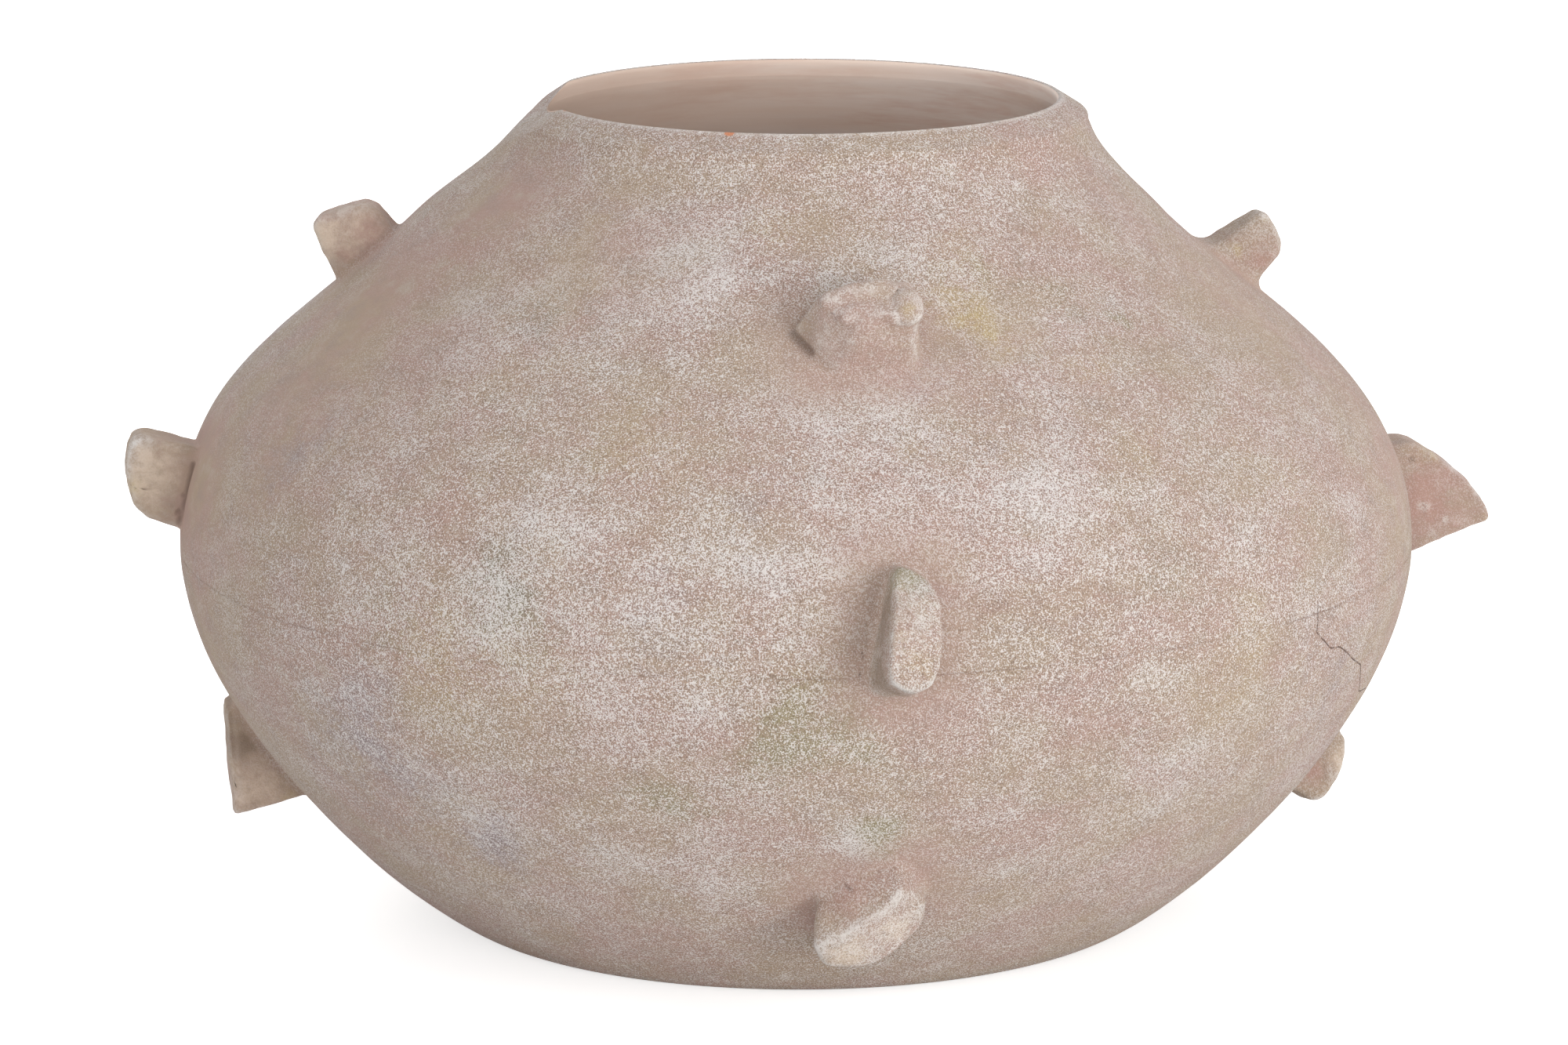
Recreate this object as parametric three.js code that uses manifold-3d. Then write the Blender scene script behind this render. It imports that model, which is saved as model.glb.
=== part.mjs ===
// Hand-built terracotta vase: a wide, low, round body with an open mouth and twelve clay studs.
// The body is two bowls, the upper one turned over and luted onto the lower one at the widest girth.
// The studs are short cut slabs of clay, luted to the wall in four columns of three.
//
// Frame: millimetres, +Z up. The origin is the middle of the flat foot, on the surface it stands on.
// The front of the vase looks along -Y. Angles around the vase are in degrees from the front,
// growing towards +X.

import * as THREE from 'three';
import { mergeVertices } from 'three/addons/utils/BufferGeometryUtils.js';
import Module from 'manifold-3d';

// Overall sizes
const vaseHeight = 268;
const bellyRadius = 200;
const seamHeight = 121;
const footRadius = 106;
const mouthRadius = 83;
const wallThickness = 8;
const floorThickness = 11;

// Run of the outside, from the foot over the belly to the lip
const heelSlope = 10;
const heelPull = 16;
const bellyPullDown = 52;
const bellyPullUp = 60;
const shoulderRadius = 119;
const shoulderDepth = 38;
const shoulderSlope = 45;
const shoulderPull = 52;
const neckPull = 12;

// Lip: a bevel that falls outwards, and a small round at its inner edge
const lipWidth = 9;
const lipDrop = 5.5;
const lipRound = 1.5;

// The mouth sits a little off the axis, and the lip is worn away in a slope on the side opposite
const mouthShift = 3;
const mouthShiftStart = 52;
const wornReach = 75;
const wornSlope = 32;

// Stepped lap at the seam: the inner half of the lower wall stands up into the upper one
const lapHeight = 5;
const clearance = 0.3;

// Mesh fineness
const turnSteps = 64;
const lowerSteps = 12;
const upperSteps = 11;
const neckSteps = 4;

// Studs. The long way of a slab runs from its low end to its high end. twist turns that way about
// the line straight out of the wall: 0 is up the wall and 90 is level, high end towards +X at the
// front. swing is the angle away from the column's line, and rise is how far the middle of the seat
// lies above the line that its row is set out from. length is the seat's, reach is how far the two
// outer corners stand out, lean how far they are drawn in from the seat's ends, and crown how far
// the end between them is bulged.
const columnStart = 8;
const columns = ['front', 'right', 'rear', 'left'];
const rowLines = { upper: vaseHeight, middle: seamHeight, lower: 0 };
const studBevel = 2.2;
const studRoot = 14;
const cornerRound = 2.4;
const studs = {
  front: {
    upper: { rise: -58.5, swing: -1, twist: 86, length: 39, thick: 17, flare: 6,
      reach: [21, 22], lean: [11, 0], crown: 2 },
    middle: { rise: 15, swing: 1.2, twist: 2, length: 37, thick: 16, flare: 5,
      reach: [27, 9], lean: [1, 5], crown: 6 },
    lower: { rise: 44, swing: -1, twist: 65, length: 36, thick: 17, flare: 3,
      reach: [21, 13], lean: [0, 2], crown: 1 },
  },
  right: {
    upper: { rise: -59.5, swing: 0, twist: 0, length: 21, thick: 16, flare: 6,
      reach: [16, 20], lean: [-1, 5], crown: 0 },
    middle: { rise: 10, swing: 0, twist: 0, length: 37, thick: 16, flare: 5,
      reach: [30, 8], lean: [5, 3], crown: 6 },
    lower: { rise: 49, swing: 0, twist: 12, length: 29, thick: 16, flare: 5,
      reach: [18, 16], lean: [2, 8], crown: 3 },
  },
  rear: {
    upper: { rise: -56, swing: 2, twist: 70, length: 31, thick: 17, flare: 5,
      reach: [19, 21], lean: [6, 3], crown: 2 },
    middle: { rise: 18, swing: -1, twist: 8, length: 34, thick: 16, flare: 5,
      reach: [25, 13], lean: [4, 3], crown: 4 },
    lower: { rise: 50, swing: 1, twist: 35, length: 33, thick: 16, flare: 5,
      reach: [21, 11], lean: [4, 3], crown: 3 },
  },
  left: {
    upper: { rise: -53, swing: -11, twist: 0, length: 26, thick: 18, flare: 5,
      reach: [21.5, 13], lean: [7, 2], crown: 0 },
    middle: { rise: 24.5, swing: -1, twist: 0, length: 27, thick: 17, flare: 3,
      reach: [15, 20.5], lean: [2, -1], crown: 3 },
    lower: { rise: 57, swing: -1, twist: 0, length: 38, thick: 15, flare: 4,
      reach: [22, 4.5], lean: [9, 2], crown: 0 },
  },
};

const wasm = await Module();
wasm.setup();

const radians = THREE.MathUtils.degToRad;
const point = (radius, height) => new THREE.Vector2(radius, height);

// A point that lies a length away from another, on a line that rises by an angle in degrees
function away(from, length, angle) {
  const turn = radians(angle);
  return point(from.x + length * Math.cos(turn), from.y + length * Math.sin(turn));
}

// Outside of the vase as half profiles, each running upwards
const foot = point(footRadius, 0);
const belly = point(bellyRadius, seamHeight);
const shoulder = point(shoulderRadius, vaseHeight - shoulderDepth);
const lipEdge = point(mouthRadius + lipWidth, vaseHeight - lipDrop);

const lowerCurve = new THREE.CubicBezierCurve(
  foot,
  away(foot, heelPull, heelSlope),
  away(belly, bellyPullDown, -90),
  belly,
);
const shoulderCurve = new THREE.CubicBezierCurve(
  belly,
  away(belly, bellyPullUp, 90),
  away(shoulder, shoulderPull, -shoulderSlope),
  shoulder,
);
const neckCurve = new THREE.CubicBezierCurve(
  shoulder,
  away(shoulder, neckPull, 180 - shoulderSlope),
  away(lipEdge, neckPull, -90),
  lipEdge,
);
const lowerOutside = lowerCurve.getSpacedPoints(lowerSteps);
const upperOutside = [
  ...shoulderCurve.getSpacedPoints(upperSteps),
  ...neckCurve.getSpacedPoints(neckSteps).slice(1),
];

// The same run set in or out by a distance, square to the wall
function setOff(curve, steps, distance) {
  const run = [];
  for (let step = 0; step <= steps; step += 1) {
    const along = step / steps;
    const place = curve.getPointAt(along);
    const way = curve.getTangentAt(along);
    run.push(point(place.x + way.y * distance, place.y - way.x * distance));
  }
  return run;
}

// The point of a run at a height, and the part of the run above that height
function cutAt(run, height) {
  const above = run.filter((place) => place.y > height);
  const next = above[0];
  const last = run[run.length - above.length - 1] ?? next;
  const share = next.y === last.y ? 0 : (height - last.y) / (next.y - last.y);
  return [point(last.x + (next.x - last.x) * share, height), ...above];
}

// Inside of the vase, a wall's thickness in from the outside
const lowerInside = cutAt(setOff(lowerCurve, lowerSteps, -wallThickness), floorThickness);
const upperInside = [
  ...setOff(shoulderCurve, upperSteps, -wallThickness),
  ...setOff(neckCurve, neckSteps, -wallThickness).slice(1),
].filter((place) => place.y < vaseHeight - shoulderDepth);

function lathe(profile) {
  const geometry = new THREE.LatheGeometry(profile, turnSteps);
  geometry.rotateX(Math.PI / 2);
  return geometry;
}

function smoothRise(value) {
  return THREE.MathUtils.smoothstep(value, 0, 1);
}

// Moves what lies near the mouth sideways, growing from nothing to the full shift at the lip
function shiftMouth(geometry) {
  const places = geometry.attributes.position;
  for (let index = 0; index < places.count; index += 1) {
    const depth = vaseHeight - places.getZ(index);
    const share = smoothRise((mouthShiftStart - depth) / mouthShiftStart);
    places.setX(index, places.getX(index) + mouthShift * share);
  }
  return geometry;
}

function toSolid(geometry) {
  const bare = geometry.clone();
  bare.deleteAttribute('normal');
  bare.deleteAttribute('uv');
  const merged = mergeVertices(bare, 1e-4);
  return new wasm.Manifold(new wasm.Mesh({
    numProp: 3,
    vertProperties: new Float32Array(merged.attributes.position.array),
    triVerts: new Uint32Array(merged.index.array),
  }));
}

function toGeometry(solid) {
  const mesh = solid.getMesh();
  const geometry = new THREE.BufferGeometry();
  geometry.setAttribute('position', new THREE.BufferAttribute(mesh.vertProperties, 3));
  geometry.setIndex(new THREE.BufferAttribute(mesh.triVerts, 1));
  geometry.computeVertexNormals();
  return geometry;
}

// Lower bowl: foot, wall to the widest girth, and the standing half of the lap
function lowerBowl() {
  const lapRadius = bellyRadius - wallThickness / 2 - clearance / 2;
  const profile = [
    point(0, 0),
    ...lowerOutside,
    point(lapRadius, seamHeight),
    point(lapRadius, seamHeight + lapHeight),
    point(bellyRadius - wallThickness, seamHeight + lapHeight),
    ...[...lowerInside].reverse(),
    point(0, floorThickness),
  ];
  return lathe(profile);
}

// Slope that is worn away from the lip, as a block whose underside is the slope
function wornBlock() {
  const size = 4 * mouthRadius;
  const block = new THREE.BoxGeometry(size, size, size);
  block.translate(-size / 2, 0, size / 2);
  block.rotateY(-radians(wornSlope));
  block.translate(-wornReach, 0, vaseHeight);
  return block;
}

// Upper shell: the turned-over bowl, from the seam over the shoulder to the bevelled lip
function upperShell() {
  const lapRadius = bellyRadius - wallThickness / 2 + clearance / 2;
  const lapTop = seamHeight + lapHeight + clearance;
  const lipTop = point(mouthRadius + lipRound, vaseHeight);
  const lipInside = point(mouthRadius, vaseHeight - lipRound);
  const profile = [
    ...upperOutside,
    lipTop,
    lipInside,
    ...cutAt(upperInside, lapTop).reverse(),
    point(lapRadius, lapTop),
    point(lapRadius, seamHeight),
    upperOutside[0].clone(),
  ];
  const shell = toSolid(shiftMouth(lathe(profile)));
  return toGeometry(shell.subtract(toSolid(wornBlock())));
}

// Solid that fills the whole outside with the clearance added, to seat the studs on the wall
function studSeat() {
  const profile = [
    point(0, -clearance),
    ...setOff(lowerCurve, lowerSteps, clearance),
    ...setOff(shoulderCurve, upperSteps, clearance).slice(1),
    ...setOff(neckCurve, neckSteps, clearance).slice(1),
    point(0, lipEdge.y),
  ];
  return toSolid(shiftMouth(lathe(profile)));
}

// Place on the outside at a height, with the way straight out of the wall there
function wallAt(height) {
  const curve = height < seamHeight ? lowerCurve : shoulderCurve;
  let low = 0;
  let high = 1;
  while (high - low > 1e-5) {
    const middle = (low + high) / 2;
    if (curve.getPointAt(middle).y < height) {
      low = middle;
    } else {
      high = middle;
    }
  }
  const way = curve.getTangentAt(low);
  return { place: curve.getPointAt(low), out: point(way.y, -way.x) };
}

// Outline of a slab: x runs along its length and y straight out of the wall
function studOutline({ length, reach, lean, crown }) {
  const lowEnd = -length / 2 + studBevel;
  const highEnd = length / 2 - studBevel;
  const low = point(lowEnd + lean[0], reach[0] - studBevel);
  const high = point(highEnd - lean[1], reach[1] - studBevel);
  const top = low.clone().lerp(high, 0.5);
  top.y += 2 * crown;
  const round = Math.min(cornerRound, low.y / 2, high.y / 2);
  const lowRise = low.clone().lerp(point(lowEnd, 0), round / low.y);
  const highFall = high.clone().lerp(point(highEnd, 0), round / high.y);
  const lowTurn = low.clone().lerp(top, round / low.distanceTo(top));
  const highTurn = high.clone().lerp(top, round / high.distanceTo(top));
  const outline = new THREE.Shape();
  outline.moveTo(highEnd, -studRoot);
  outline.lineTo(highEnd, 0);
  outline.lineTo(highFall.x, highFall.y);
  outline.quadraticCurveTo(high.x, high.y, highTurn.x, highTurn.y);
  outline.quadraticCurveTo(top.x, top.y, lowTurn.x, lowTurn.y);
  outline.quadraticCurveTo(low.x, low.y, lowRise.x, lowRise.y);
  outline.lineTo(lowEnd, 0);
  outline.lineTo(lowEnd, -studRoot);
  return outline;
}

// Slab with rounded edges, thicker at the wall by its flare
function studBlank(size) {
  const depth = size.thick - 2 * studBevel;
  const blank = new THREE.ExtrudeGeometry(studOutline(size), {
    depth,
    curveSegments: 4,
    bevelThickness: studBevel,
    bevelSize: studBevel,
    bevelSegments: 2,
  });
  blank.translate(0, 0, -depth / 2);
  const places = blank.attributes.position;
  const fullReach = Math.max(...size.reach);
  for (let index = 0; index < places.count; index += 1) {
    const nearness = 1 - THREE.MathUtils.clamp(places.getY(index) / fullReach, 0, 1);
    const widening = 1 + (size.flare / size.thick) * nearness;
    places.setZ(index, places.getZ(index) * widening);
  }
  return blank;
}

// Frame of a stud on the wall, for its row's line and its column's angle from the front
function studFrame({ rise, swing, twist }, rowLine, column) {
  const { place, out } = wallAt(rowLine + rise);
  const outward = new THREE.Vector3(out.x, 0, out.y);
  const upWall = new THREE.Vector3(-out.y, 0, out.x);
  const sideways = new THREE.Vector3(0, 1, 0);
  const along = upWall.clone().multiplyScalar(Math.cos(radians(twist)));
  along.addScaledVector(sideways, Math.sin(radians(twist)));
  const across = along.clone().cross(outward);
  const frame = new THREE.Matrix4().makeBasis(along, outward, across);
  frame.setPosition(place.x, 0, place.y);
  return frame.premultiply(new THREE.Matrix4().makeRotationZ(radians(column + swing - 90)));
}

const seat = studSeat();

function stud(name, size, rowLine, column) {
  const frame = studFrame(size, rowLine, column);
  const blank = studBlank(size).applyMatrix4(frame);
  const geometry = toGeometry(toSolid(blank).subtract(seat));
  geometry.applyMatrix4(frame.clone().invert());
  const mesh = piece(name, geometry, studClay);
  frame.decompose(mesh.position, mesh.quaternion, mesh.scale);
  return mesh;
}

const bodyClay = { color: 0xb8a99f, roughness: 0.95, metalness: 0 };
const shellClay = { color: 0xbcaba0, roughness: 0.95, metalness: 0 };
const studClay = { color: 0xc4b3a5, roughness: 0.95, metalness: 0 };

function piece(name, geometry, finish) {
  const mesh = new THREE.Mesh(geometry, new THREE.MeshStandardMaterial(finish));
  mesh.name = name;
  return mesh;
}

const vase = new THREE.Group();
vase.add(piece('lower_bowl', lowerBowl(), bodyClay));
vase.add(piece('upper_shell', upperShell(), shellClay));
columns.forEach((column, index) => {
  const angle = columnStart + index * (360 / columns.length);
  for (const [row, size] of Object.entries(studs[column])) {
    vase.add(stud(`${column}_stud_${row}`, size, rowLines[row], angle));
  }
});

export default vase;
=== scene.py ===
"""Looks of a hand-built terracotta vase with twelve clay studs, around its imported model.

Sizes are in millimetres until a mesh is made. Angles round the vase are in degrees from the front,
which looks along -Y, growing towards +X.
"""

import math
from functools import partial
from itertools import product

import bpy
import numpy as np
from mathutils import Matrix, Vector
from mathutils.bvhtree import BVHTree


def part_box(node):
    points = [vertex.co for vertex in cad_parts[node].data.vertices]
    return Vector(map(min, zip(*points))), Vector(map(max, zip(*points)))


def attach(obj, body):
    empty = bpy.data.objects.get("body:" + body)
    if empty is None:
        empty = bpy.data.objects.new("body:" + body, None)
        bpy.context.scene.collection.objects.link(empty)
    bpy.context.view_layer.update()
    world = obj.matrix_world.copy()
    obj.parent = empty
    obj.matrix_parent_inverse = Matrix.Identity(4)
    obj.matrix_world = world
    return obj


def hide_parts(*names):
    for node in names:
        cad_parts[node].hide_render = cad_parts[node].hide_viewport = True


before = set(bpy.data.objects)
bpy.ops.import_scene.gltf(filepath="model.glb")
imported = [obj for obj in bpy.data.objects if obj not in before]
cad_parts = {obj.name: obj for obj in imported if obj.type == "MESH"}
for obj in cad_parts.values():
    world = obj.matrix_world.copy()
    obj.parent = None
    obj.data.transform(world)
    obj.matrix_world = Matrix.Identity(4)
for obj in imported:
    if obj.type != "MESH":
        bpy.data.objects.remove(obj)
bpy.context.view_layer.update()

MM = 0.001


def point(radius, height):
    return np.array([radius, height], float)


# Overall sizes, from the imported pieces
VASE_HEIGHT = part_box("upper_shell")[1].z / MM
SEAM_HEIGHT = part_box("upper_shell")[0].z / MM
BELLY_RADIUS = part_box("lower_bowl")[1].y / MM

# Run of the wall from the foot over the belly to the lip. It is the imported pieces' own, fitted more
# finely to the vase that was seen
FOOT_RADIUS = 109
HEEL_SLOPE, HEEL_PULL = 11.5, 18
BELLY_PULL_DOWN, BELLY_PULL_UP = 49.8, 57.8
SHOULDER_RADIUS, SHOULDER_DEPTH = 120.7, 38
SHOULDER_SLOPE, SHOULDER_PULL = 45, 55
NECK_PULL = 11
MOUTH_RADIUS = 81.8
LIP_WIDTH, LIP_DROP, LIP_ROUND = 10.2, 5.5, 1.5
WALL = 8
FLOOR = 11
LAP_HEIGHT, OVER_LAP = 5, 1
CLEARANCE = 0.3
WORN_REACH, WORN_SLOPE, WORN_ROUND = 74, 36, 1
LIP_ZONE = VASE_HEIGHT - 14

# Rounded corners of the section, as steps from a corner: under the lip's edge, in from its top, down
# the mouth, and along the floor from where the wall meets it
LIP_BELOW = (2.2, 0.8)
LIP_INWARDS = point(-0.9, -0.3)
MOUTH_DOWN = point(1.6, -6)
FLOOR_CORNER = (4, 14)

# What hands left in the wall. Drifts off the axis: from one height to another, and how far in all.
# Hollows and finger ridges: how long and how deep. Hollows fade out from one height to another, and
# ridges run level, because their pattern is drawn out round the axis by a share
DRIFTS = [(60, 0, 0.4), (120, 60, 0.3), (120, 180, -1.4), (180, 225, -0.4), (225, 262, 4.0)]
SEAM_ROUND = 0.1
SEAM_WAVE, SEAM_WAVE_TURN, SEAM_WAVE_REACH = 1.2, 20, 26
HOLLOWS = [(70, 1.5), (26, 0.5), (9, 0.16)]
HOLLOW_FADES = [(0, 9), (VASE_HEIGHT + 2, LIP_ZONE)]
FINGER_RIDGES = (9, 0.7)
RIDGES_RUN = 0.08

# Fineness of the wall's mesh: steps round it, spacing of its rings outside and inside, and steps of
# its foot and floor, its lip, its cone under the mouth and its curves before they are spaced
STEPS_AROUND = 480
OUTSIDE_SPACING = 2.0
INSIDE_SPACING = 4.0
FLAT_STEPS = 23
LIP_STEPS = (0.06, 0.2, 0.45, 0.7, 0.9)
CONE_STEPS = 13
CURVE_STEPS = 600
SAME_PLACE = 0.001


def linear(hex_colour):
    """Turns an sRGB hex colour into the linear colour that a socket takes."""
    parts = [int(hex_colour[i:i + 2], 16) / 255 for i in (1, 3, 5)]
    return [c / 12.92 if c <= 0.04045 else ((c + 0.055) / 1.055) ** 2.4 for c in parts] + [1.0]


def per_metre(size):
    """Scale of a pattern on Object coordinates whose marks are about size millimetres across."""
    return 1 / (size * MM)


MATH, VECTOR, NOISE = "ShaderNodeMath", "ShaderNodeVectorMath", "ShaderNodeTexNoise"
RANGE, MIX = "ShaderNodeMapRange", "ShaderNodeMix"


def add(tree, kind, inputs=None, output=0, **settings):
    """Adds a node with its settings, fills or links its inputs, and returns one of its outputs."""
    node = tree.nodes.new(kind)
    for name, value in settings.items():
        setattr(node, name, value)
    for name, value in (inputs or {}).items():
        if isinstance(value, bpy.types.NodeSocket):
            tree.links.new(value, node.inputs[name])
        else:
            node.inputs[name].default_value = value
    return node.outputs[output] if len(node.outputs) else node


# Profile of the wall

def away(start, length, angle):
    turn = math.radians(angle)
    return start + length * point(math.cos(turn), math.sin(turn))


def run(start, start_pull, end_pull, end, spacing):
    """Points along a cubic curve, evenly spaced by about a distance."""
    share = np.linspace(0, 1, CURVE_STEPS)[:, None]
    back = 1 - share
    curve = (back ** 3 * start + 3 * back ** 2 * share * start_pull
             + 3 * back * share ** 2 * end_pull + share ** 3 * end)
    length = np.append(0, np.cumsum(np.linalg.norm(np.diff(curve, axis=0), axis=1)))
    stops = np.linspace(0, length[-1], round(length[-1] / spacing) + 1)
    return np.column_stack([np.interp(stops, length, curve[:, axis]) for axis in (0, 1)])


def set_in(curve, distance):
    """The same run moved square to itself, towards the axis."""
    return curve + distance * way_out(curve, -1)


def soften(corners, times=3):
    """Cuts the corners of a line again and again, which rounds it."""
    for _ in range(times):
        first, second = corners[:-1], corners[1:]
        cut = np.stack([0.75 * first + 0.25 * second, 0.25 * first + 0.75 * second], axis=1)
        corners = np.vstack([corners[:1], cut.reshape(-1, 2), corners[-1:]])
    return corners


FOOT = point(FOOT_RADIUS, 0)
BELLY = point(BELLY_RADIUS, SEAM_HEIGHT)
SHOULDER = point(SHOULDER_RADIUS, VASE_HEIGHT - SHOULDER_DEPTH)
LIP_EDGE = point(MOUTH_RADIUS + LIP_WIDTH, VASE_HEIGHT - LIP_DROP)


def lower_run(spacing):
    return run(FOOT, away(FOOT, HEEL_PULL, HEEL_SLOPE), BELLY - point(0, BELLY_PULL_DOWN), BELLY, spacing)


def shoulder_run(spacing):
    pull = away(SHOULDER, SHOULDER_PULL, -SHOULDER_SLOPE)
    return run(BELLY, BELLY + point(0, BELLY_PULL_UP), pull, SHOULDER, spacing)


def neck_run(spacing):
    pull = away(SHOULDER, NECK_PULL, 180 - SHOULDER_SLOPE)
    return run(SHOULDER, pull, LIP_EDGE - point(0, NECK_PULL), LIP_EDGE, spacing)


OUTSIDE = np.vstack([lower_run(1), shoulder_run(1)[1:], neck_run(1)[1:]])


def way_out(curve, side):
    """Unit ways square to a run, to its outer side, or to its inner side for -1."""
    way = np.gradient(curve, axis=0)
    way /= np.linalg.norm(way, axis=1)[:, None]
    return side * np.column_stack([way[:, 1], -way[:, 0]])


def section(*parts):
    """Joins stretches of a half section. Each is its points, the ways that its clay was pushed, and 1
    for the inside or 0."""
    points = np.vstack([np.atleast_2d(p) for p, _, _ in parts])
    ways = np.vstack([np.broadcast_to(w, np.atleast_2d(p).shape) for p, w, _ in parts])
    inside = np.concatenate([np.full(len(np.atleast_2d(p)), i) for p, _, i in parts])
    return points, ways, inside


def lower_section():
    """Half section of the lower bowl, from the middle of the foot round to the middle of the floor."""
    outside = lower_run(OUTSIDE_SPACING)
    ways = way_out(outside, 1)
    foot = np.column_stack([np.linspace(0, FOOT_RADIUS, FLAT_STEPS + 1)[:-1], np.zeros(FLAT_STEPS)])
    heel = soften(np.vstack([foot[-1:], outside[:3]]))[1:-1]
    seam = np.array([BELLY - (0, SEAM_ROUND), BELLY - (SEAM_ROUND, 0)])
    lap = BELLY_RADIUS - WALL / 2 - CLEARANCE / 2
    lap_top = SEAM_HEIGHT + LAP_HEIGHT
    lap_step = [(lap, SEAM_HEIGHT), (lap, lap_top), (BELLY_RADIUS - WALL, lap_top)]
    inner = set_in(lower_run(INSIDE_SPACING), WALL)
    inner_ways = way_out(inner, -1)
    kept = inner[:, 1] > FLOOR
    inner, inner_ways = inner[kept][::-1], inner_ways[kept][::-1]
    corner = soften(np.array([inner[-1], *((inner[-1][0] - step, FLOOR) for step in FLOOR_CORNER)]), 2)
    floor_radii = np.linspace(corner[-1][0], 0, FLAT_STEPS + 1)[1:]
    floor = np.column_stack([floor_radii, np.full(FLAT_STEPS, FLOOR)])
    return section((foot, (0, -1), 0), (heel, ways[0], 0), (outside[2:-1], ways[2:-1], 0),
                   (seam, (1, 0), 0), (lap_step, (1, 0), 1), (inner[:-1], inner_ways[:-1], 1),
                   (corner, (0, 1), 1), (floor, (0, 1), 1))


def upper_section():
    """Closed half section of the upper shell, from the seam over the lip and down inside."""
    lap = BELLY_RADIUS - WALL / 2 + CLEARANCE / 2
    lap_top = SEAM_HEIGHT + LAP_HEIGHT + CLEARANCE
    seam = np.array([BELLY - (SEAM_ROUND, 0), BELLY + (0, SEAM_ROUND)])
    shoulder = shoulder_run(OUTSIDE_SPACING)
    shoulder_ways = way_out(shoulder, 1)
    neck = neck_run(OUTSIDE_SPACING)
    neck_ways = way_out(neck, 1)
    inner = set_in(shoulder_run(INSIDE_SPACING), WALL)
    inner_ways = way_out(inner, -1)
    kept = inner[:, 1] > lap_top + OVER_LAP
    inner, inner_ways = inner[kept][::-1], inner_ways[kept][::-1]
    top = point(MOUTH_RADIUS + LIP_ROUND, VASE_HEIGHT)
    under_lip = [LIP_EDGE - (0, step) for step in LIP_BELOW]
    up_slope = [LIP_EDGE + share * (top - LIP_EDGE) for share in LIP_STEPS]
    mouth = point(MOUTH_RADIUS, VASE_HEIGHT)
    lip = soften(np.array([*under_lip, *up_slope, top, top + LIP_INWARDS]), 2)
    bore = soften(np.array([top + LIP_INWARDS, mouth - (0, LIP_ROUND), mouth + MOUTH_DOWN]), 2)[1:]
    cone = np.linspace(bore[-1], inner[0], CONE_STEPS + 1)[1:-1]
    down_in = way_out(cone, 1)[0]
    lap_step = [(BELLY_RADIUS - WALL, lap_top), (lap, lap_top), (lap, SEAM_HEIGHT)]
    return section((seam, (1, 0), 0), (shoulder[1:], shoulder_ways[1:], 0),
                   (neck[1:-2], neck_ways[1:-2], 0), (lip, (1, 0), 0), (bore, (-1, 0), 1),
                   (cone, down_in, 1), (inner, inner_ways, 1), (lap_step, (1, 0), 1))


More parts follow.
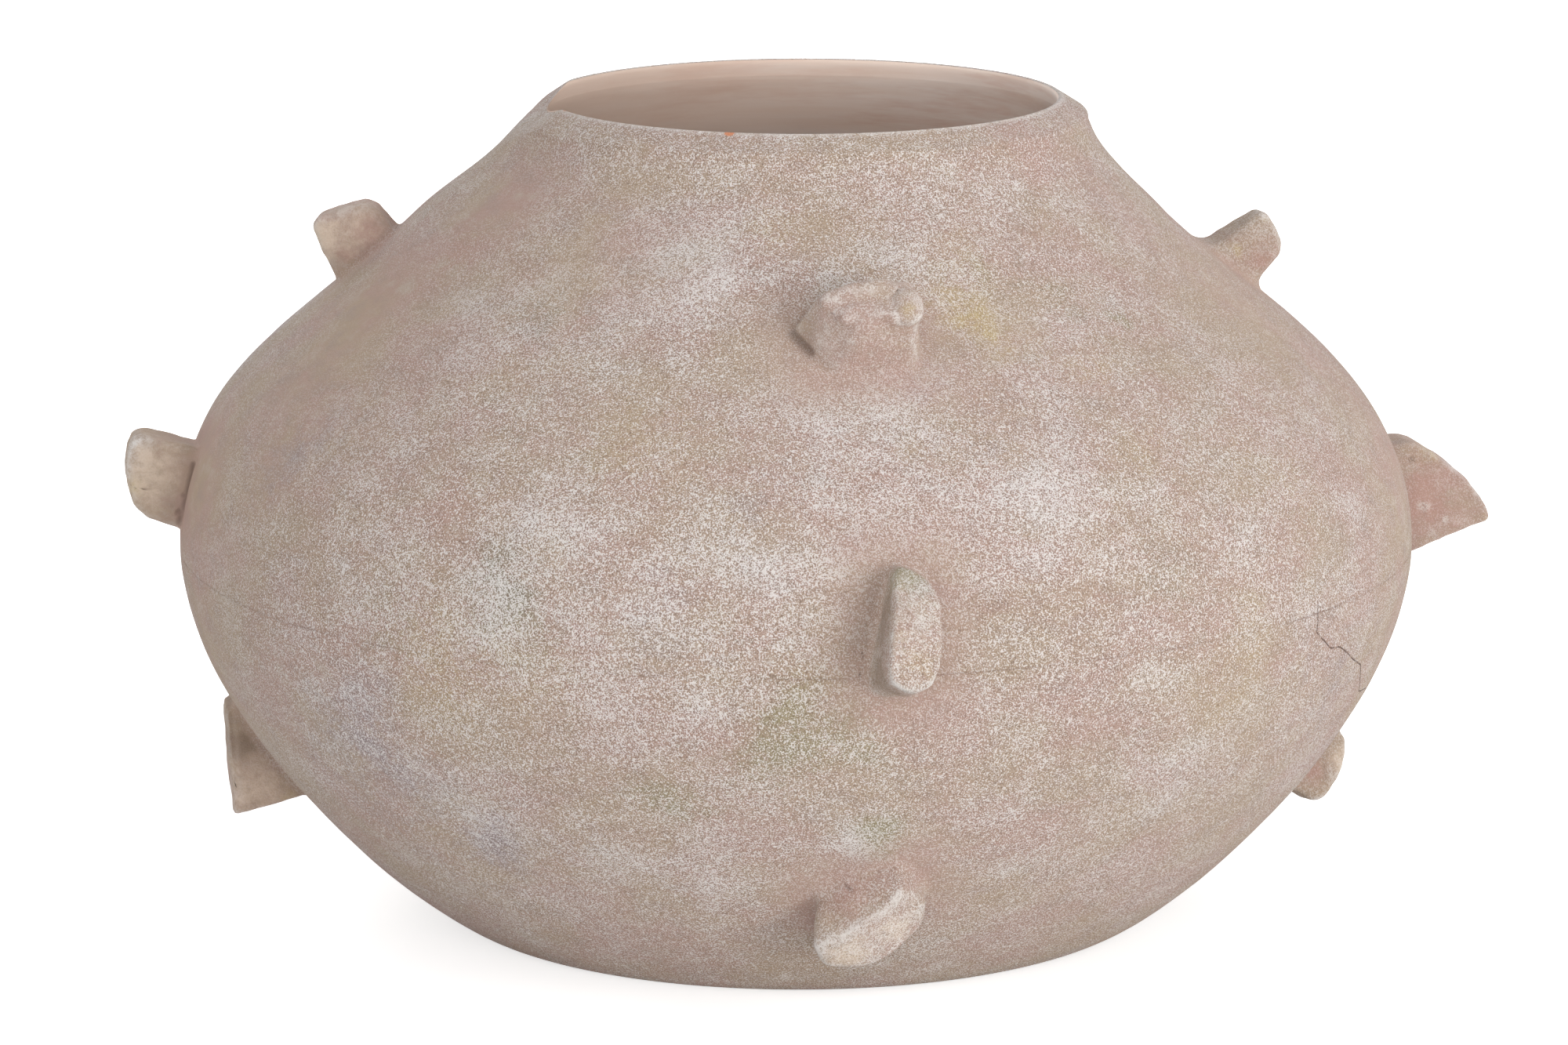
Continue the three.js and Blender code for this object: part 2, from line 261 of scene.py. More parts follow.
def turned_clay_wall():
    """Geometry Nodes tree that turns a half section round the axis and leaves a hand's marks in it."""
    tree = bpy.data.node_groups.new("turned_clay_wall", "GeometryNodeTree")
    tree.interface.new_socket("Geometry", in_out="OUTPUT", socket_type="NodeSocketGeometry")
    tree.interface.new_socket("Half Section", in_out="INPUT", socket_type="NodeSocketGeometry")
    for name, kind in (("Steps Around", "Int"), ("Closed Section", "Bool"), ("Material", "Material")):
        tree.interface.new_socket(name, in_out="INPUT", socket_type="NodeSocket" + kind)
    put = partial(add, tree)
    given = tree.nodes.new("NodeGroupInput").outputs
    half = given["Half Section"]

    # One column of the grid for each step round the axis, one row for each point of the section
    points = put("GeometryNodeAttributeDomainSize", {"Geometry": half}, "Point Count", component="MESH")
    rows = put(MATH, {0: points, 1: given["Closed Section"]}, operation="ADD")
    columns = put(MATH, {0: given["Steps Around"], 1: 1}, operation="ADD")
    grid = put("GeometryNodeMeshGrid", {"Vertices X": columns, "Vertices Y": rows})
    index = put("GeometryNodeInputIndex")
    column = put(MATH, {0: index, 1: 0.5}, operation="ADD")
    column = put(MATH, {0: column, 1: rows}, operation="DIVIDE")
    column = put(MATH, {0: column}, operation="FLOOR")
    row = put(MATH, {0: column, 1: rows}, operation="MULTIPLY")
    row = put(MATH, {0: index, 1: row}, operation="SUBTRACT")
    row = put(MATH, {0: row, 1: 0.5}, operation="ADD")
    row = put(MATH, {0: row, 1: points}, operation="MODULO")
    row = put(MATH, {0: row}, operation="FLOOR")
    turn = put(MATH, {0: column, 1: given["Steps Around"]}, operation="DIVIDE")
    turn = put(MATH, {0: turn, 1: math.tau}, operation="MULTIPLY")

    # Each point of the section, and the way its clay was pushed, is turned round to its column
    place = put("GeometryNodeInputPosition")
    push = put("GeometryNodeInputNamedAttribute", {"Name": "push"}, data_type="FLOAT_VECTOR")
    inside = put("GeometryNodeInputNamedAttribute", {"Name": "inside"}, data_type="FLOAT")
    turned = []
    for value in (place, push):
        taken = put("GeometryNodeSampleIndex", {"Geometry": half, "Value": value, "Index": row},
                    data_type="FLOAT_VECTOR", domain="POINT")
        turned.append(put("ShaderNodeVectorRotate", {"Vector": taken, "Angle": turn},
                          rotation_type="Z_AXIS"))
    taken = put("GeometryNodeSampleIndex", {"Geometry": half, "Value": inside, "Index": row},
                data_type="FLOAT", domain="POINT")
    wall = put("GeometryNodeStoreNamedAttribute", {"Geometry": grid, "Name": "inside", "Value": taken},
               data_type="FLOAT", domain="POINT")
    wall = put("GeometryNodeStoreNamedAttribute", {"Geometry": wall, "Name": "push", "Value": turned[1]},
               data_type="FLOAT_VECTOR", domain="POINT")
    wall = put("GeometryNodeSetPosition", {"Geometry": wall, "Position": turned[0]})
    wall = put("GeometryNodeMergeByDistance", {"Geometry": wall, "Distance": SAME_PLACE * MM})

    # The foot, the shoulder and the mouth sit a little off the axis
    at = put("ShaderNodeSeparateXYZ", {0: place}).node.outputs
    shift = 0.0
    for start, stop, amount in DRIFTS:
        share = put(RANGE, {"Value": at["Z"], "From Min": start * MM, "From Max": stop * MM},
                    interpolation_type="SMOOTHSTEP")
        shift = put(MATH, {0: share, 1: amount * MM, 2: shift}, operation="MULTIPLY_ADD")

    # The seam rises and falls twice round the vase, and takes the clay near it along
    back = put(MATH, {0: at["Y"], 1: -1}, operation="MULTIPLY")
    angle = put(MATH, {0: at["X"], 1: back}, operation="ARCTAN2")
    swell = put(MATH, {0: angle, 1: 2, 2: math.radians(2 * SEAM_WAVE_TURN)}, operation="MULTIPLY_ADD")
    swell = put(MATH, {0: swell}, operation="COSINE")
    swell = put(MATH, {0: swell, 1: -SEAM_WAVE * MM, 2: SEAM_WAVE * MM}, operation="MULTIPLY_ADD")
    nearness = put(MATH, {0: at["Z"], 1: SEAM_HEIGHT * MM}, operation="SUBTRACT")
    nearness = put(MATH, {0: nearness, 1: SEAM_WAVE_REACH * MM}, operation="DIVIDE")
    nearness = put(MATH, {0: nearness, 1: nearness}, operation="MULTIPLY")
    nearness = put(MATH, {0: nearness, 1: -1}, operation="MULTIPLY")
    nearness = put(MATH, {0: nearness}, operation="EXPONENT")
    rise = put(MATH, {0: swell, 1: nearness}, operation="MULTIPLY")

    # Shallow hollows from paddling and scraping fade out at the foot, which stands flat, and at the lip
    depth = 0.0
    for size, amount in HOLLOWS:
        hollow = put(NOISE, {"Vector": place, "Scale": per_metre(size), "Detail": 1.0})
        hollow = put(MATH, {0: hollow, 1: 0.5}, operation="SUBTRACT")
        depth = put(MATH, {0: hollow, 1: amount * MM, 2: depth}, operation="MULTIPLY_ADD")
    size, amount = FINGER_RIDGES
    level = put(VECTOR, {0: place, 1: (RIDGES_RUN, RIDGES_RUN, 1)}, operation="MULTIPLY")
    ridges = put(NOISE, {"Vector": level, "Scale": per_metre(size), "Detail": 0.0})
    ridges = put(MATH, {0: ridges, 1: 0.5}, operation="SUBTRACT")
    ridges = put(MATH, {0: ridges, 1: inside}, operation="MULTIPLY")
    depth = put(MATH, {0: ridges, 1: amount * MM, 2: depth}, operation="MULTIPLY_ADD")
    for start, stop in HOLLOW_FADES:
        free = put(RANGE, {"Value": at["Z"], "From Min": start * MM, "From Max": stop * MM},
                   interpolation_type="SMOOTHSTEP")
        depth = put(MATH, {0: depth, 1: free}, operation="MULTIPLY")
    dent = put(VECTOR, {0: push, "Scale": depth}, operation="SCALE")
    moved = put("ShaderNodeCombineXYZ", {"X": shift, "Z": rise})
    moved = put(VECTOR, {0: dent, 1: moved}, operation="ADD")
    wall = put("GeometryNodeSetPosition", {"Geometry": wall, "Offset": moved})

    # The lip is worn down in a slope on one side
    now = put("ShaderNodeSeparateXYZ", {0: place}).node.outputs
    slope = put(MATH, {0: now["X"], 1: WORN_REACH * MM}, operation="ADD")
    steep = math.tan(math.radians(WORN_SLOPE))
    slope = put(MATH, {0: slope, 1: steep, 2: VASE_HEIGHT * MM}, operation="MULTIPLY_ADD")
    worn = put(MATH, {0: now["Z"], 1: slope, 2: WORN_ROUND * MM}, operation="SMOOTH_MIN")
    worn_place = put("ShaderNodeCombineXYZ", {"X": now["X"], "Y": now["Y"], "Z": worn})
    high = put(MATH, {0: now["Z"], 1: (VASE_HEIGHT - SHOULDER_DEPTH) * MM}, operation="GREATER_THAN")
    wall = put("GeometryNodeSetPosition", {"Geometry": wall, "Position": worn_place, "Selection": high})
    wall = put("GeometryNodeSetShadeSmooth", {"Geometry": wall})
    wall = put("GeometryNodeRealizeInstances", {"Geometry": wall})
    wall = put("GeometryNodeSetMaterial", {"Geometry": wall, "Material": given["Material"]})
    put("NodeGroupOutput", {"Geometry": wall})
    return tree


def turn_wall(name, half_section, closed, tree, material):
    """A plain mesh of one bowl, turned from its half section by the tree."""
    points, ways, inside = half_section
    line = bpy.data.meshes.new(name + "_section")
    line.from_pydata([(r * MM, 0, z * MM) for r, z in points], [], [])
    push = line.attributes.new("push", "FLOAT_VECTOR", "POINT")
    push.data.foreach_set("vector", np.insert(ways, 1, 0, axis=1).astype(np.float32).ravel())
    store(line, "inside", inside)
    maker = bpy.data.objects.new(name + "_section", line)
    bpy.context.scene.collection.objects.link(maker)
    modifier = maker.modifiers.new("turning", "NODES")
    modifier.node_group = tree
    sockets = {s.name: s.identifier for s in tree.interface.items_tree if s.in_out == "INPUT"}
    modifier[sockets["Steps Around"]] = STEPS_AROUND
    modifier[sockets["Closed Section"]] = closed
    modifier[sockets["Material"]] = material
    turned = maker.evaluated_get(bpy.context.evaluated_depsgraph_get())
    mesh = bpy.data.meshes.new_from_object(turned)
    mesh.name = name
    maker.modifiers.remove(modifier)
    bpy.data.objects.remove(maker)
    wall = bpy.data.objects.new(name, mesh)
    bpy.context.scene.collection.objects.link(wall)
    return wall


def corners_of(mesh):
    """The mesh's points in millimetres."""
    places = np.empty(len(mesh.vertices) * 3, np.float32)
    mesh.vertices.foreach_get("co", places)
    return places.reshape(-1, 3).astype(float) / MM


def store(mesh, name, values):
    kept = mesh.attributes.get(name) or mesh.attributes.new(name, "FLOAT", "POINT")
    kept.data.foreach_set("value", np.asarray(values, np.float32))


def oblong(low, high, left, right):
    """Corners of a plain oblong slab: how far up along the stud, and across it."""
    return [(low, left), (low, right), (high, right), (high, left)]


# Studs. Each is a slab of clay cut with a knife and smeared onto the wall. rise is from its row's line,
# and swing turns it round the vase and twist on its seat, in degrees. root and end are the corners of
# the slab at the wall and at its free end: how far up along the stud, and across it. reach is how far
# the free end stands out at its low and high side, and crown how far it bulges between. corner and
# edge are how round its upright and its outer edges are worn, smear how wide its clay runs onto the
# wall. grain is how much lime grain it shows. The rest lies in the stud's own frame, along, out and
# across: coils are rolled ridges with a radius, marks and dark cracks are lines with a width and a
# depth, which is below 0 where clay stands up, and dabs are soft spots or lines of a colour, with a
# size and a strength.
# The dark brown dabs are painted shade on the studs' shaded flanks and next to their roots.
COLUMN_START = 8
COLUMN_TURN = {"front": 0, "right": 90, "rear": 180, "left": 270}
ROW_LINE = {"upper": VASE_HEIGHT, "middle": SEAM_HEIGHT, "lower": 0}
STUDS = {
    "front_stud_upper": dict(
        rise=-58.5, swing=-1, twist=86, reach=(18.5, 20), crown=2.5, corner=2.4, edge=2.4,
        smear=2, grain=0.55,
        root=[(-18.5, -10.5), (20, -11.5), (20.5, 3), (16.5, 8.5), (-5, 9), (-13, 1)],
        end=[(-10, -10), (18, -10.5), (20, -3), (17.5, 2.6), (1, 5), (-8, -1.5)],
        coils=[([(-8.6, 18.4, -6.6), (0, 20.4, -7.6), (9, 21.4, -7.8), (14, 20.8, -6)], 2.3),
               ([(14.9, 19.8, -1.4), (14.9, 19.2, 0.2)], 5.1),
               ([(-6, 17.8, 1.4), (1, 19.4, 0.4), (7, 19.8, 1.6), (11, 18.6, 3.6)], 1.7)],
        marks=[([(-8, 19.6, -2.6), (0, 21.6, -3.4), (8, 22.4, -3)], 1.1, 0.9),
               ([(-5, 20, 6), (-1.3, 16.5, 7.5), (5.7, 12, 8.5)], 1.2, -0.8),
               ([(0, 21.5, 2), (5, 20, 4), (9, 16, 7)], 2.4, 0.9)],
        cracks=[([(-15, 7, -11.4), (-17.6, 2.2, -11.6), (-18.2, 1.6, -9.4), (-16.7, 1.6, -6.1),
                  (-13.6, 1.6, -0.5)], 1.2, 1.7), ([(-13, 9, -11.6), (-16, 4, -11.8)], 0.9, 0.9)],
        dabs={
            "lime": [([(-10, 18.6, -6), (-2, 21.6, -7), (7, 23.4, -7), (13, 24, -5)], 2.2, 0.65),
                     ([(14.9, 24.4, -1.3), (18, 23.6, -0.3), (19.3, 21.6, 2), (18, 19.6, 4.3)], 1.5, 1.0),
                     ([(18, 19.6, 4.3), (14.9, 18.8, 5.3), (11.8, 19.6, 4.3), (10.5, 21.6, 2)], 1.4, 0.9),
                     ([(-6, 19.4, 2.6), (1, 21, 1.6), (8, 21.4, 2.6), (11, 20, 4)], 1.3, 0.65),
                     ([(18.4, 15, 4.4), (18.4, 5, 6)], 2.0, 0.8),
                     ([(14.6, 12, 7.4), (15, 5, 9)], 1.2, 0.8), ((-3, 15, 6.4), 2.6, 0.9),
                     ((-9, 13, 1), 2.4, 0.7), ([(-3, 16, 7), (2, 13, 8.4), (6, 9, 9.4)], 1.2, 0.8),
                     ((-11, 8, 0), 3, 0.5)],
            "ochre": [((15, 23, 3), 2.6, 1.0)],
            "buff": [((2, 21, -5.5), 5, 0.4)],
            "shade_brown": [((-14, 4, -4), 7, 0.6)]}),
    "front_stud_middle": dict(
        rise=15, swing=1.2, twist=2, reach=(27, 9.5), crown=4.5, corner=3.5, edge=2.0, smear=3,
        grain=1.0,
        root=[(-20.5, -7.5), (-19.5, 5.5), (-13, 9), (11, 9.6), (19, 3), (19.5, -5.5), (0, -8.8),
              (-14, -11.5)],
        end=[(-16.6, -5), (-16.6, 3.2), (-11.6, 7.2), (10.8, 8.2), (18, 1.6), (19, -5), (4.4, -7.2),
             (-11.5, -9.6)],
        marks=[([(-17, 1.2, -10), (-17.2, 1.2, -9.6)], 0.8, -0.9),
               ([(-13, 1, -10.8), (-13, 1, -10.6)], 0.6, -0.8),
               ([(2, 1, -10.4), (2.4, 1, -10.4)], 0.6, -0.6),
               ([(-15, 0.6, -10), (0, 0.6, -10.5), (8, 0.6, -9)], 1.0, 0.5)],
        dabs={
            "olive": [((15, 10, -2), 8, 1.0)],
            "sage": [((12, 13, 4), 5, 0.7)],
            "ochre": [((5, 17, 3), 8, 0.5), ((-9, 25, 0), 7, 0.55), ((1, 21, -3), 7, 0.4)],
            "lime": [([(-13, 26, -8), (-16.4, 25, -4.6), (-16.6, 25, 3), (-12, 26, 7)], 3.2, 1.0),
                     ([(10.8, 13, 8), (-8, 24, 7.6)], 1.4, 0.7),
                     ([(16, 10, -5), (4, 19, -7), (-8, 25, -9)], 1.4, 0.7), ((3, 20, 1), 4, 0.6)],
            "shade_brown": [((4, 8, -10), 14, 1.0), ((-14, 12, -9), 11, 1.0)],
            "cream": [((-2, 21, 0), 12, 0.5)]}),
    "front_stud_lower": dict(
        rise=44, swing=-1, twist=65, reach=(18, 8), crown=4.6, corner=2.0, edge=1.8, smear=3.2,
        grain=0.9,
        root=[(-11.9, -8), (3, -12), (17, -12), (20, 4), (16, 10), (4, 11.5), (-2, 11.5), (-13.5, 5)],
        end=[(-14.5, -7.3), (1.6, -10.5), (17, -10), (19, 3.5), (15.8, 8.8), (4.1, 11.3), (-1.5, 11.3),
             (-15.8, 4.1)],
        marks=[([(-20, 2, -7), (-20.5, 2, 0)], 1.4, 0.6), ([(12, 12, -4), (17, 9.5, -1)], 0.9, 0.5)],
        cracks=[([(1, 5, -10.6), (-0.2, 3.6, -11), (-1, 2.2, -11.4)], 0.4, 1.0),
                ([(4.5, 11.5, -9.4), (5.2, 11, -9.4)], 0.5, 0.9),
                ([(10, 1.6, -12.6), (13, 1.6, -12.6)], 0.4, 0.6)],
        dabs={
            "cream": [((-6, 18, 1), 10, 1.0), ((8, 14, 1), 9, 0.9)],
            "ochre": [((-3, 18, 5), 3.5, 0.7), ((6, 15, -3), 3, 0.6)],
            "lime": [([(-15, 18.6, -6.5), (1.6, 17.4, -9.8), (16, 10.6, -9)], 2.8, 0.85),
                     ([(-15, 18.6, -5), (-15.4, 18.6, 3.6), (-6, 18.8, 8.6), (-1.5, 18, 10.8)], 2.6, 0.9),
                     ([(18.4, 8.4, -6), (18.8, 8.4, 3)], 1.8, 0.8), ((0, 19, 8), 4, 0.7)],
            "rose": [((0, 6, -11), 13, 0.8), ((-12, 3, -9), 7, 0.5)],
            "shade_brown": [((-13, 5, -3), 6, 1.0)]}),
    "right_stud_upper": dict(
        rise=-59.5, swing=0, twist=0, reach=(14.2, 20.3), crown=0.8, corner=4, edge=3, smear=5.5,
        grain=0.5,
        root=oblong(-6.7, 12, -10, 10),
        end=oblong(-7.8, 6.2, -7.5, 7.5),
        marks=[([(3, 17, -8), (4.5, 14, -8.4)], 1.5, 0.6), ([(-8, 5, -9.6), (-6, 6, -9.4)], 1.0, -0.7),
               ([(7, 5, -9.6), (6.4, 5, -9.6)], 1.0, 0.9), ([(-9.8, 9, -3), (-9.8, 9, 4)], 1.6, 0.7)],
        dabs={
            "lime": [((4, 20, -4), 4, 0.9), ((-3, 18.5, -6), 3.2, 1.0), ((2, 15, -8), 4, 0.5),
                     ((-4, 11, -8.5), 3, 0.4)],
            "rose": [((-3, 8, -9), 8, 0.8)],
            "ochre": [((6, 4, -9.6), 3.6, 0.8), ((3, 19, -6), 2.4, 0.7)],
            "buff": [((2, 10, -9), 6, 0.4)]}),
    "right_stud_middle": dict(
        rise=10, swing=0, twist=0, reach=(29.3, 5), crown=4.7, corner=1.6, edge=1.8, smear=2.6,
        grain=0.4,
        root=oblong(-18, 18.8, -10.2, 10.2),
        end=oblong(-10.5, 19, -8, 8),
        marks=[([(-2, 8.4, -9.4), (-5.5, 8, -9.6)], 0.8, -0.6),
               ([(-8, 12, -9.2), (-8.6, 16, -9)], 0.8, -0.6),
               ([(-12, 9, -9.4), (-12, 12, -9.3)], 0.8, -0.4)],
        cracks=[([(13, 4, -9.6), (13.3, 4.4, -9.6)], 0.6, 1.2)],
        dabs={
            "rose": [((0, 8, -9.5), 15, 1.0), ((-10, 18, -9), 9, 0.7)],
            "lime": [((0, 25, -4), 4.5, 0.8), ((-7, 29.5, -4), 4, 0.8), ((8, 18, -5), 4.5, 0.6),
                     ((-3, 7, -9.5), 2.2, 1.0), ((-8.4, 14, -9), 2.0, 1.0), ((-10, 20, -9), 3.5, 0.6),
                     ((-12, 10, -9), 2.4, 0.7), ((3, 14, -9), 3, 0.5)],
            "ochre": [((-10, 29, -6), 3, 0.7), ((14, 11, -7), 4.5, 0.8)]}),
    "right_stud_lower": dict(
        rise=49, swing=0, twist=12, reach=(17.6, 14.3), crown=2.7, corner=2.5, edge=2.6, smear=3,
        grain=0.5,
        root=oblong(-15, 15, -10, 10),
        end=[(-12.5, -7.5), (-12.5, 7.5), (7, 7.5), (8, -8)],
        marks=[([(1, 4, -9.8), (0, 9, -9.4), (-3, 12, -9)], 0.9, 0.8),
               ([(-2, 14, -8.4), (-4, 15, -8.2)], 1.0, -0.8)],
        cracks=[([(3, 3, -10), (2, 3.4, -10)], 0.6, 0.8)],
        dabs={
            "cream": [((4, 16, -3), 9, 1.0), ((-6, 19, -2), 7, 0.8)],
            "rose": [((-6, 6, -10), 9, 1.0)],
            "lime": [((-3, 15, -8), 2.4, 1.0), ((-12, 17, -4), 4, 0.8)],
            "shade_brown": [((0, 3, -10), 6, 0.7)]}),
    "rear_stud_upper": dict(
        rise=-56, swing=2, twist=70, reach=(19, 21), crown=2.4, corner=3, edge=3, smear=6,
        grain=0.8,
        root=[(-17, -11), (17, -11), (17.5, 6), (12, 11), (-17, 11)],
        end=[(-10, -9), (13, -9), (14.5, 3), (9, 8.5), (-11, 8.5)],
        coils=[([(-8, 19, -6.4), (2, 21.4, -6.8), (10, 21.4, -6)], 2.2)],
        marks=[([(-8, 20, -2.6), (0, 22.6, -3.2), (9, 23, -2.4)], 1.4, 0.6)],
        cracks=[([(-17.4, 1.6, -6), (-17.4, 1.4, 1)], 0.5, 1.0)],
        dabs={
            "lime": [((0, 21, -7), 8, 0.8), ((-9, 19, 6), 4, 0.8)],
            "cream": [((2, 21, 2), 9, 0.8)],
            "ochre": [((8, 21, 2), 4, 0.7)],
            "rose": [((0, 7, 10), 12, 0.9)]}),
    "rear_stud_middle": dict(
        rise=18, swing=-1, twist=8, reach=(24.2, 12.5), crown=4, corner=4.5, edge=2.4, smear=4,
        grain=0.9,
        root=[(-18, -9.5), (-18, 9.5), (10, 10.3), (18, 4), (18, -10)],
        end=[(-14.5, -7.5), (-14.5, 7.5), (9, 8), (15, 2), (14.5, -8)],
        marks=[([(-10, 1, 10), (9, 1, 10)], 1.0, 0.5), ([(2, 12, 9), (-6, 16, 8.4)], 1.2, 0.6)],
        dabs={
            "cream": [((0, 21, 0), 12, 0.9)],
            "lime": [((-13, 23, 0), 5.5, 1.0), ((12, 14, -4), 5, 0.7)],
            "ochre": [((6, 18, 2), 4, 0.7)],
            "shade_brown": [((0, 6, 10), 11, 0.6)],
            "sage": [((12, 13, 3), 4, 0.6)]}),
    "rear_stud_lower": dict(
        rise=50, swing=1, twist=35, reach=(20, 11), crown=3.2, corner=2.6, edge=2.2, smear=6,
        grain=0.8,
        root=[(-17.5, -11), (17.5, -11), (18, 5), (13, 11), (-17.5, 11)],
        end=[(-13, -8.6), (14, -8.6), (14.5, 4), (9, 8.6), (-13.5, 8.6)],
        cracks=[([(-3, 8, 9.6), (-2, 4, 10.4)], 0.5, 0.9)],
        dabs={
            "cream": [((-2, 18, 0), 10, 0.9)],
            "lime": [((-12, 19, 0), 5, 0.9), ((6, 14, -7), 5, 0.8)],
            "ochre": [((3, 17, 3), 3.6, 0.7)],
            "rose": [((0, 6, 10), 12, 0.9), ((0, 6, -10), 12, 0.7)]}),
    "left_stud_upper": dict(
        rise=-53, swing=-11, twist=0, reach=(22, 13.3), crown=0.6, corner=4, edge=4, smear=2.0,
        grain=0.15,
        root=oblong(-14.3, 10.8, -10, 10.5),
        end=[(-8, -8.5), (-8, 9), (12, 8), (12, -8.5)],
        marks=[([(-11, 12, 9.6), (-3, 9.5, 10.8), (3, 3, 11.2)], 3.2, -0.8),
               ([(-1, 11.5, 9.6), (0.4, 12, 9.6)], 1.0, 0.5)],
        dabs={
            "cream": [((-8, 14, 9.5), 8, 1.0), ((-2, 15, 9.2), 5, 0.8), ((0, 11, 10), 15, 0.65)],
            "lime": [((-8, 21.5, 5), 5, 0.7), ((5, 16.5, 6), 5, 0.5)],
            "rose": [((5, 7, 10), 8, 1.0), ((-4, 5, 10.4), 7, 0.8)],
            "ochre": [((-9, 17, 9), 3, 0.6)]}),
    "left_stud_middle": dict(
        rise=24.5, swing=-1, twist=0, reach=(13.2, 20.5), crown=4.0, corner=3, edge=3.6,
        smear=1.8, grain=0.1,
        root=oblong(-13.5, 13.2, -9.6, 10),
        end=oblong(-12.4, 13.2, -8.5, 8.5),
        marks=[([(-4.6, 21, 7), (-3.4, 12, 9.2), (-1.6, 4, 9.8)], 0.6, 0.4),
               ([(-7, 2.6, 10.2), (-8.6, 3.0, 10.2)], 0.7, -0.6)],
        cracks=[([(8, 0.9, 10.6), (-3, 0.9, 10.6), (-13, 0.9, 10.6)], 0.7, 0.7),
                ([(-2.6, 1.2, 10.4), (-2.8, 1.2, 10.4)], 0.8, 1.2),
                ([(-8.2, 1.2, 10.4), (-8.4, 1.2, 10.4)], 0.8, 1.2),
                ([(-4.6, 20, 7.6), (-3.4, 12, 9.4), (-1.6, 4, 10)], 0.22, 0.12)],
        dabs={
            "lime": [((9, 20, 7), 6, 1.0), ((2, 21.5, 5), 5, 0.8)],
            "cream": [((5, 16, 8.6), 6, 1.0), ((10, 9, 9), 6, 0.6), ((0, 13, 9), 14, 0.8)],
            "ochre": [((-3.6, 17, 8), 3.6, 0.9)],
            "rose": [((3, 5, 9.6), 7, 0.6)],
            "shade_brown": [((-8, 3, 9.6), 6, 0.5)]}),
    "left_stud_lower": dict(
        rise=57, swing=-1, twist=0, reach=(22, 3.2), crown=0.4, corner=1.8, edge=1.6, smear=1.8,
        grain=0.15,
        root=oblong(-18.3, 20.5, -9, 9),
        end=oblong(-9.5, 20, -7.6, 7.6),
        marks=[([(19, 1.6, 7.4), (0, 14.6, 7.0), (-9, 20, 6.6)], 1.8, 0.9)],
        dabs={
            "shade_brown": [((9, 3, 8.4), 10, 0.8)],
            "cream": [((-6, 11, 8), 14, 0.7)],
            "rose": [((-6, 10, 8), 14, 0.6)],
            "lime": [((-9, 21, 7), 4, 0.6), ((6, 13, 7), 4, 0.4), ((16, 6, 7), 4, 0.4),
                     ((-3, 16, 7), 3.4, 0.4)],
            "ochre": [((-15, 5, 8.6), 4, 0.6)]}),
}

# Fineness of the studs' meshes. How far each skirt runs on under the wall and how deep it dives, and
# how deep the hidden back is sunk. Lumps that fingers leave: how wide and how high. Their random
# field repeats after a number of lumps, and is shifted for each seed. The slab's sides are drawn on
# a little past both of its ends
STUD_AROUND = 176
STUD_SPACING = 0.6
FIRST_RING = 0.03
SKIRT_HIDDEN, SKIRT_DIVE = 3, 1.1
SUNK = 3
CLAY_LUMPS = [(14, 0.55), (5.5, 0.3), (2.1, 0.12)]
STUD_SEED = 50
LATTICE, LATTICE_SHIFT = 32, 7.3
COIL_BLEND = 1.4
SIDES_RUN_ON = (-0.3, 1.2)

# Search for a stud's surface: rounds, how far a place is nudged to feel the slope, the flattest slope
# that is trusted, and the longest step
SETTLE_ROUNDS = 7
NUDGE = 0.05
FLATTEST = 0.25
LONGEST_STEP = 2


def stud_frame(name):
    """Where a stud sits: the middle of its seat, and its ways along, out and across, as rows."""
    stud = STUDS[name]
    column, row = name.split("_stud_")
    height = ROW_LINE[row] + stud["rise"]
    way = np.gradient(OUTSIDE, axis=0)
    radius, *way = [np.interp(height, OUTSIDE[:, 1], values) for values in (OUTSIDE[:, 0], *way.T)]
    way = np.array(way) / np.hypot(*way)
    turn = math.radians(COLUMN_START + COLUMN_TURN[column] + stud["swing"] - 90)
    spin = np.array([[math.cos(turn), -math.sin(turn), 0], [math.sin(turn), math.cos(turn), 0], [0, 0, 1]])
    out = spin @ [way[1], 0, -way[0]]
    up = spin @ [way[0], 0, way[1]]
    side = spin @ [0, 1, 0]
    twist = math.radians(stud["twist"])
    along = math.cos(twist) * up + math.sin(twist) * side
    return spin @ [radius, 0, height], np.array([along, out, np.cross(along, out)])


def lumps(places, size, seed):
    """A smooth random field from -1 to 1 whose lumps are about size millimetres across."""
    lattice = np.random.default_rng(seed).uniform(-1, 1, (LATTICE, LATTICE, LATTICE))
    grid = places / size + LATTICE_SHIFT * seed
    cell = np.floor(grid).astype(int)
    share = grid - cell
    share = share * share * (3 - 2 * share)
    total = np.zeros(len(places))
    for corner in product((0, 1), repeat=3):
        weight = np.prod(np.where(corner, share, 1 - share), axis=1)
        total += weight * lattice[tuple(((cell + corner) % LATTICE).T)]
    return total


def wander(places, size, amount, seed):
    """Shifts that carry places softly astray, by up to about an amount."""
    return np.stack([lumps(places, size, seed + k) for k in range(3)], axis=1) * amount


def fading(distance, size):
    """1 at a spot or line, falling softly to nothing two or three sizes away."""
    return np.exp(-(distance / size) ** 2)


def line_distance(places, line):
    """Distance of each place to a line through some points."""
    line = np.atleast_2d(np.array(line, float))
    nearest = np.linalg.norm(places - line[0], axis=1)
    for start, end in zip(line[:-1], line[1:]):
        way = end - start
        share = np.clip((places - start) @ way / (way @ way), 0, 1)
        nearest = np.minimum(nearest, np.linalg.norm(places - start - share[:, None] * way, axis=1))
    return nearest


def blend_low(first, second, width):
    """The lower of two distances, rounded where they meet over a width."""
    share = np.clip(width - np.abs(first - second), 0, None) / width
    return np.minimum(first, second) - share * share * width / 4


def within(faces, radius):
    """Distance to the solid inside all of some faces, with its edges rounded."""
    faces = np.stack(faces) + radius
    return np.sqrt((np.clip(faces, 0, None) ** 2).sum(axis=0)) + np.minimum(faces.max(axis=0), 0) - radius


